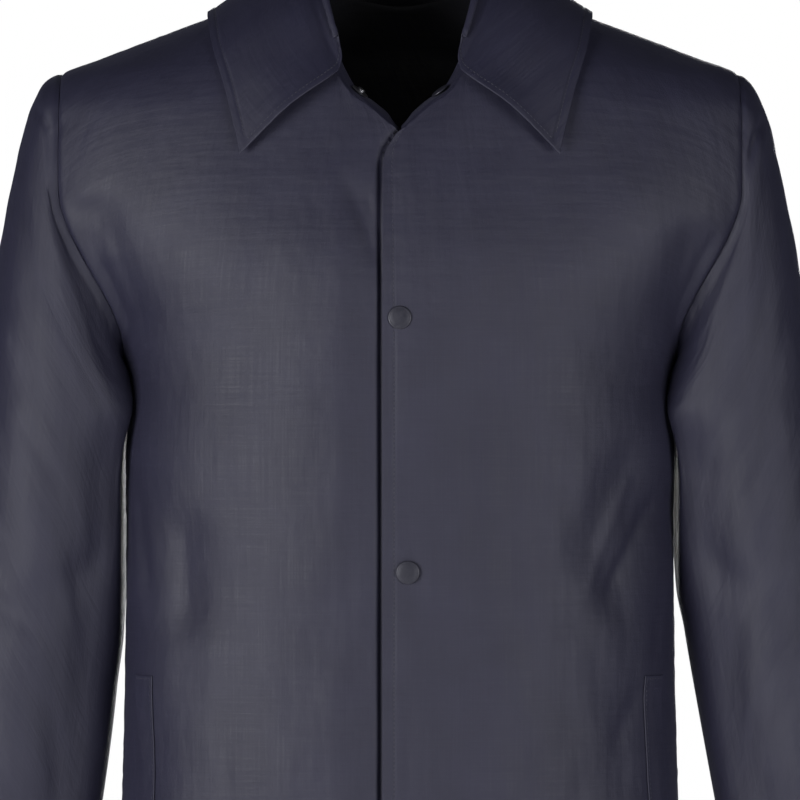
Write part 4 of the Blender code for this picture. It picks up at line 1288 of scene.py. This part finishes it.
def body_relief(grid, folds, creases, near, seed):
    """How far a body panel's cloth stands off its plain form, outward."""
    x, z = grid[..., 0], grid[..., 2]
    swell, ripple, fine = (waves(x, z, *span, seed + k) for k, span in enumerate(BODY_SPANS))
    ripple = RIPPLE * ripple * (RIPPLE_ABOVE + (1 - RIPPLE_ABOVE) * ease(*RIPPLE_GROWS, z))
    uneven = (SWELL * swell + ripple) * ease(0.0, SWELL_FADE, near)
    inward = FOLD_SHARE * sum(trough(x, z, fold) for fold in folds)
    inward = inward + sum(trough(x, z, crease) for crease in creases)
    return uneven + FINE * fine * ease(0.0, FINE_FADE, near) - inward * ease(0.0, FOLD_FADE, near)


def sewn_relief(grid, from_side, from_top, across, along, seeds):
    """Relief of a body panel along its side and top seams and its hem."""
    relief = seam_dip(from_side) * (1 - near_underarm(grid[..., 2])) + seam_dip(from_top)
    relief += puckers(from_side, along, SEAM_PUCKER, seeds[0])
    relief += puckers(from_top, across, SEAM_PUCKER, seeds[1])
    return relief + turned_edge(along, HEM_STITCH, across, seeds[2])


def body_rows():
    counts = [LOWER_STEPS] * (len(LOWER_HEIGHTS) - 1) + [UPPER_STEPS] * UPPER_ROWS
    return steps_along(counts, HEM_MARKS, SEAM_MARKS, ROW_ENDS)


def make_front(side, arm_seam, neck_seam, looks):
    edge_marks = EDGE_MARKS if side > 0 else EDGE_MARKS + UNDER_MARKS
    columns = steps_along([FRONT_STEPS] * column_cells(-1), edge_marks, SEAM_MARKS, COLUMN_ENDS)
    grid, normals = body_half(side, -1, body_rows(), columns, arm_seam, neck_seam)
    across, along = lengths(grid, 1), lengths(grid, 0)
    from_side, from_top = across[:, -1:] - across, along[-1:] - along
    relief = body_relief(grid, *FRONT_RELIEF[side], np.minimum(from_side, from_top), 10 + side)
    relief *= ease(*FRONT_CALM[side], across)
    if side < 0:
        depth, wide, off = TROUGH
        relief -= depth * np.exp(-(((grid[..., 0] + front_edge(grid[..., 2]) - off) / wide) ** 2))
    else:
        relief += EDGE_LIFT[0] * np.exp(-((across / EDGE_LIFT[1]) ** 2))
    relief += sewn_relief(grid, from_side, from_top, across, along, (20 + side, 22 + side, 26 + side))
    relief += turned_edge(across, PLACKET_STITCH, along, 24 + side)
    grid = grid + normals * relief[..., None]
    lines = [trace(grid, normals, across, PLACKET_STITCH), upward(grid, normals, along, HEM_STITCH)]
    finish(
        f"front_{SIDES[side]}", grid, normals, CLOTH, rounding(across) * rounding(along), lines, looks,
        FRONT_CUT, "hung", ["back_cloth"], cloth=(across, along),
    )


def make_welt(side, looks):
    """A pocket welt: a folded band over the slanted pocket, stitched down but for its outer side."""
    heights = sorted(LOWER_HEIGHTS)
    foot, top = heights.index(WELT_FOOT), heights.index(WELT_TOP)
    start = column_cells(-1) - SIDE_COLUMNS - 1
    row_marks = steps_along([WELT_STEPS[0]] * (top - foot), WELT_MARKS, WELT_MARKS, WELT_ENDS)
    column_marks = steps_along([WELT_STEPS[1]], WELT_MARKS, WELT_MARKS, (WELT_WIDTH, WELT_WIDTH))
    grid = lower_rows(-1, foot + row_marks, start + column_marks)
    normals = body_normal(grid)
    near = np.full(grid.shape[:2], WELT_FROM_SIDE)
    relief = WELT_LIFT + body_relief(grid, *FRONT_RELIEF[side], near, 10 + side)
    grid = grid + normals * relief[..., None]
    across, along = lengths(grid, 1), lengths(grid, 0)
    far, high = across[:, -1:] - across, along[-1:] - along
    sewn = np.minimum(np.minimum(along, high), across)
    relief = -STITCH_PULL * np.exp(-(((sewn - WELT_STITCH) / PULL_WIDTH) ** 2))
    relief += 0.2 * waves(across, along, 12.0, 18.0, 40 + side) * ease(1.0, 5.0, np.minimum(sewn, far))
    grid = grid + normals * relief[..., None]
    lines = [
        trace(grid, normals, across, WELT_STITCH),
        upward(grid, normals, along, WELT_STITCH),
        cross(grid, normals, high, WELT_STITCH),
    ]
    finish(
        f"welt_{SIDES[side]}", grid, normals, WELT_CLOTH, rounding(np.minimum(sewn, far)), lines, looks,
        WELT_CUT, "folded", [f"front_{SIDES[side]}_cloth"], inner="outside",
    )


def make_back(arm_seams, neck_seams, looks):
    columns = steps_along([BACK_STEPS] * column_cells(1), (), SEAM_MARKS, COLUMN_ENDS)
    right, left = (
        body_half(side, 1, body_rows(), columns, arm_seams[side], neck_seams[side]) for side in SIDES
    )
    grid, normals = (
        np.concatenate([mirrored(other)[:, :0:-1], own], axis=1) for other, own in zip(right, left)
    )
    across, along = lengths(grid, 1), lengths(grid, 0)
    from_side, from_top = np.minimum(across, across[:, -1:] - across), along[-1:] - along
    relief = body_relief(grid, BACK_FOLDS, BACK_CREASES, np.minimum(from_side, from_top), 60)
    relief += sewn_relief(grid, from_side, from_top, across, along, (61, 62, 63))
    grid = grid + normals * relief[..., None]
    finish(
        "back", grid, normals, CLOTH, rounding(along), [upward(grid, normals, along, HEM_STITCH)], looks,
        BACK_CUT, "hung", ["collar_stand_cloth"], cloth=(across, along),
    )


def sleeve_folds(grid, angles, creases):
    """How deep a sleeve's folds and creases are."""
    inward = np.zeros(grid.shape[:-1])
    for start, z0, end, z1, wide, deep in SLEEVE_FOLDS:
        away = (angles - (start + end) / 2 + 180.0) % 360.0 - 180.0
        half = (end - start) / 2 * DEGREE_MM
        arc = away[None, :] * DEGREE_MM + np.zeros_like(inward)
        inward += trough(arc, grid[..., 2], (-half, z0, half, z1, wide, deep * SLEEVE_FOLD_SHARE))
    ahead = ease(5.0, 25.0, -grid[..., 1])
    return inward + sum(trough(grid[..., 0], grid[..., 2], crease) for crease in creases) * ahead


def sleeve_relief(side, grid, angles, across, along):
    """How far a sleeve's cloth stands off its plain form, outward."""
    z = grid[..., 2]
    inside = np.abs(angles - 180.0)[None, :]
    turn = np.radians(angles)[None, :]
    round_x, round_y = np.cos(turn) * SLEEVE_RADIUS, np.sin(turn) * SLEEVE_RADIUS
    coarse, middle, fine = SLEEVE_SPANS
    relief = SWELL * waves(round_x, round_y + along, *coarse, 70 + side)
    relief += RIPPLE * waves(round_x + along * 0.4, along + round_y, *middle, 72 + side)
    relief += FINE * waves(across, along, *fine, 74 + side)
    relief *= ease(*SLEEVE_FREE[0], inside) * ease(*SLEEVE_FREE[1], along)
    inward = sleeve_folds(grid, angles, SLEEVE_CREASES[side])
    relief -= inward * ease(2.0, 14.0, along) * ease(25.0, 55.0, inside)
    relief += seam_dip(along) * (1 - near_underarm(z))
    relief += puckers(along, across, CAP_PUCKER, 76 + side) * ease(10.0, 40.0, inside)
    relief += seam_dip(inside * DEGREE_MM, 0.6) * ease(0.0, 6.0, along)
    relief += turned_edge(along[-1:] - along, HEM_STITCH, across, 78 + side)
    size, turned, spread, height, reach = PRESS
    pressed = np.exp(-(((inside - turned) / spread) ** 2) - ((z - height) / reach) ** 2)
    relief += size * pressed * ease(0.0, 4.0, along)
    lean = LEAN * ease(*LEAVES[side], z) * ease(0.0, 30.0, along)
    relief += lean * np.exp(-((inside / TURN_IN_AT[1]) ** 2))
    turned_in = np.exp(-(((inside - TURN_IN_AT[0]) / TURN_IN_AT[1]) ** 2))
    return relief - TURN_IN * turned_in * (1 - ease(*TURN_IN_BELOW, z))


def make_sleeve(side, looks):
    """Makes a sleeve and gives the directions that it shares with the body, by angle."""
    stations = steps_along(SLEEVE_STEPS, SEAM_MARKS[:5], HEM_MARKS, SLEEVE_ENDS)
    angles = np.arange(RING * SLEEVE_COLUMN_STEPS) * 360.0 / (RING * SLEEVE_COLUMN_STEPS)
    grid, normals, seam = sleeve(side, stations, angles)
    across = lengths(np.concatenate([grid, grid[:, :1]], axis=1), 1)[:, :-1]
    along = lengths(grid, 0)
    cuff = along[-1:] - along
    grid = grid + normals * sleeve_relief(side, grid, angles, across, along)[..., None]
    low = (1 - ease(UNDERARM, UNDERARM + TOUCH_FADE, grid[..., 2])) * ease(0.0, 4.0, along)
    grid = lifted(grid, TOUCH, low)
    line, up = cross(grid, normals, cuff, HEM_STITCH)
    line, up = np.vstack([line, line[:1]]), np.vstack([up, up[:1]])
    finish(
        f"sleeve_{SIDES[side]}", grid, normals, CLOTH, rounding(cuff), [(line, up)], looks,
        SLEEVE_CUT, "hung", [f"front_{SIDES[side]}_cloth", "back_cloth"],
        closed=True, cloth=(angles * ROUND_MM + 0 * along, along),
    )
    return np.append(angles, 360.0), np.vstack([seam, seam[:1]])


def make_stand(grid, normals, looks):
    across, along = lengths(grid, 1), lengths(grid, 0)
    ends = np.minimum(across, across[:, -1:] - across)
    relief = seam_dip(along) + 0.2 * waves(across, along, 22.0, 12.0, 80) * ease(0.0, 5.0, along)
    grid = grid + normals * relief[..., None]
    finish(
        "collar_stand", grid, normals, COLLAR_CLOTH, rounding(ends), [], looks,
        STAND_CUT, "hung", ["back_cloth"],
    )


def make_fall(grid, normals, looks):
    across, along = lengths(grid, 1), lengths(grid, 0)
    ends, outer = np.minimum(across, across[:, -1:] - across), along[-1:] - along
    edge = np.minimum(outer, ends * COLLAR_STITCH / POINT_STITCH)
    stand_off, reach = EDGE_STAND
    relief = turned_edge(edge, COLLAR_STITCH, across + along, 82, COLLAR_PULL)
    relief += stand_off * np.exp(-((ends / reach) ** 2)) * np.sin(np.pi * along / along[-1:]) ** 2
    swell = COLLAR_SWELL * waves(across, along, *COLLAR_SPAN, 83)
    relief += swell * ease(6.0, 30.0, edge) * ease(4.0, 20.0, along)
    grid = grid + normals * relief[..., None]
    line, up = cross(grid, normals, outer, COLLAR_STITCH)
    shown = ends[-1] > POINT_STITCH
    lines = [(line[shown], up[shown])]
    inner = outer[:, 0] > COLLAR_STITCH
    for flip in (1, -1):
        turned, ways = grid[:, ::flip], normals[:, ::flip]
        line, up = trace(turned, ways, lengths(turned, 1), POINT_STITCH)
        lines.append((line[inner], up[inner]))
    finish(
        "collar_fall", grid, normals, COLLAR_CLOTH, rounding(ends) * rounding(outer), lines, looks,
        FALL_CUT, "folded", ["collar_stand_cloth"], inner="outside",
    )


def make_collar(looks):
    """Makes the stand and the fall, and gives the directions along the neck seam, by turn."""
    coarse = np.array(FRONT_TURNS + BACK_TURNS[1:])
    bare = FRONT_TURNS.index(FALL_ROWS[-1][0])
    marks = steps_along([NECK_STEPS] * bare, EDGE_MARKS[:8], (), (BARE_NECK_END, 1.0))
    behind = [NECK_STEPS] * (len(coarse) - 1 - bare)
    covered = steps_along(behind, EDGE_MARKS, (), (COVERED_NECK_END, 1.0))
    marks = np.append(marks[:-1], bare + covered)
    turns = np.interp(marks, np.arange(len(coarse)), coarse)
    stand_shares = steps_along([STAND_STEPS] * STAND_ROW_COUNT, SEAM_MARKS[:4], SEAM_MARKS[:4], STAND_ENDS)
    fall_shares = steps_along([1] * FALL_STEPS, SEAM_MARKS[:2], EDGE_MARKS, FALL_ENDS)
    stand, fall, halves = collar(turns, stand_shares / STAND_ROW_COUNT, fall_shares / FALL_STEPS)
    make_stand(*stand, looks)
    make_fall(*fall, looks)
    return {side: (turns[::-1], seam[::-1]) for side, seam in halves.items()}


# Snaps


def seat_of(node, partner):
    """The middle of a round node's foot, and the way that it faces, away from its partner."""
    points, others = (
        np.array([vertex.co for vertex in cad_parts[name].data.vertices]) / MM
        for name in (node, partner)
    )
    centre = points.mean(axis=0)
    axis = np.linalg.svd(points - centre)[2][2]
    axis = axis * np.sign(np.dot(axis, centre - others.mean(axis=0)))
    return centre + axis * np.min((points - centre) @ axis), axis


def make_snap(node, partner, profile, look):
    """A turned metal piece on its node's seat, from a profile of (radius, height)."""
    foot, axis = seat_of(node, partner)
    first = unit(np.cross(axis, (0.0, 0.0, 1.0)))
    second = np.cross(axis, first)
    turn = np.arange(SNAP_SIDES) * 2 * np.pi / SNAP_SIDES
    spokes = first * np.cos(turn)[:, None] + second * np.sin(turn)[:, None]
    rings = np.vstack([foot + axis * height + spokes * radius for radius, height in profile])
    faces = tube_faces(SNAP_SIDES, len(profile))
    piece = flat_mesh(f"{node}_metal", rings, faces, np.zeros(len(faces)), [look])
    shape = bmesh.new()
    shape.from_mesh(piece.data)
    bmesh.ops.remove_doubles(shape, verts=shape.verts, dist=WELD)
    bmesh.ops.recalc_face_normals(shape, faces=shape.faces)
    shape.to_mesh(piece.data)
    shape.free()
    piece.data.shade_smooth()
    piece.data.set_sharp_from_angle(angle=math.radians(40))
    ready(piece, node)


def make_snaps():
    enamel = metal("navy_enamel", ENAMEL_DARK, ENAMEL_LIGHT, 0.25, 0.40)
    plated = metal("plated_steel", STEEL_DARK, STEEL_LIGHT, 1.0, 0.35)
    for number in (1, 2, 3):
        make_snap(f"snap_cap_{number}", f"snap_post_{number}", CAP_PROFILE, enamel)
        make_snap(f"snap_post_{number}", f"snap_cap_{number}", POST_PROFILE, plated)
    make_snap("snap_cap_top", "snap_socket_top", NECK_CAP_PROFILE, enamel)
    make_snap("snap_socket_top", "snap_cap_top", SOCKET_PROFILE, plated)
    make_snap("snap_stud_top", "snap_post_top", STUD_PROFILE, plated)
    make_snap("snap_post_top", "snap_stud_top", POST_PROFILE, plated)


# Studio


def placed(name, data, place):
    made = bpy.data.objects.new(name, data)
    made.location = place
    bpy.context.scene.collection.objects.link(made)
    return made


def make_lights():
    for name, place, size, power in LIGHTS:
        data = bpy.data.lights.new(name, "AREA")
        data.shape = "RECTANGLE"
        data.size, data.size_y = size
        data.energy = power
        away = Vector(LIGHTS_AIM) - Vector(place)
        placed(name, data, place).rotation_euler = away.to_track_quat("-Z", "Y").to_euler()


def make_camera():
    camera = bpy.data.cameras.new("camera")
    camera.sensor_width = SENSOR
    camera.lens = SENSOR * CAMERA_DISTANCE / FRAME_WIDTH
    camera.clip_end = 50.0
    seen = placed("camera", camera, (0.0, -CAMERA_DISTANCE, CAMERA_HEIGHT))
    seen.rotation_euler = (math.pi / 2, 0.0, 0.0)
    bpy.context.scene.camera = seen


def make_world():
    """A weak even light on the jacket, behind which the camera sees plain white."""
    world = bpy.data.worlds.new("studio")
    world.use_nodes = True
    bpy.context.scene.world = world
    nodes, links = world.node_tree.nodes, world.node_tree.links
    backdrop, dim = nodes["Background"], nodes.new("ShaderNodeBackground")
    mix = nodes.new("ShaderNodeMixShader")
    backdrop.inputs["Color"].default_value = (1.0, 1.0, 1.0, 1.0)
    backdrop.inputs["Strength"].default_value = 1.0
    dim.inputs["Color"].default_value = (*WORLD_COLOUR, 1.0)
    dim.inputs["Strength"].default_value = WORLD_LIGHT
    links.new(nodes.new("ShaderNodeLightPath").outputs["Is Camera Ray"], mix.inputs[0])
    links.new(dim.outputs[0], mix.inputs[1])
    links.new(backdrop.outputs[0], mix.inputs[2])
    links.new(mix.outputs[0], nodes["World Output"].inputs["Surface"])


def make_floor():
    bpy.ops.mesh.primitive_circle_add(
        vertices=96, radius=FLOOR_RADIUS, fill_type="NGON", location=(0, 0, FLOOR)
    )
    floor = bpy.context.object
    floor.name = "floor"
    material = new_material("pale_floor")
    surface(material, Base_Color=FLOOR_COLOUR, Roughness=0.8)
    floor.data.materials.append(material)


def main():
    looks = {
        "outside": nylon("navy_nylon", NAVY_DARK, NAVY_LIGHT),
        # the inner faces get a darkened copy of the navy nylon: painted shade
        "inside": nylon("navy_nylon_inside_painted_shade", SHADED_INSIDE_DARK, SHADED_INSIDE_LIGHT),
        "thread": thread_look(),
    }
    neck_seams = make_collar(looks)
    arm_seams = {}
    for side in SIDES:
        arm_seams[side] = make_sleeve(side, looks)
        make_front(side, arm_seams[side], neck_seams[side], looks)
        make_welt(side, looks)
    make_back(arm_seams, neck_seams, looks)
    make_snaps()
    make_camera()
    make_lights()
    make_world()
    make_floor()
    bpy.context.scene.view_settings.view_transform = "Standard"


main()
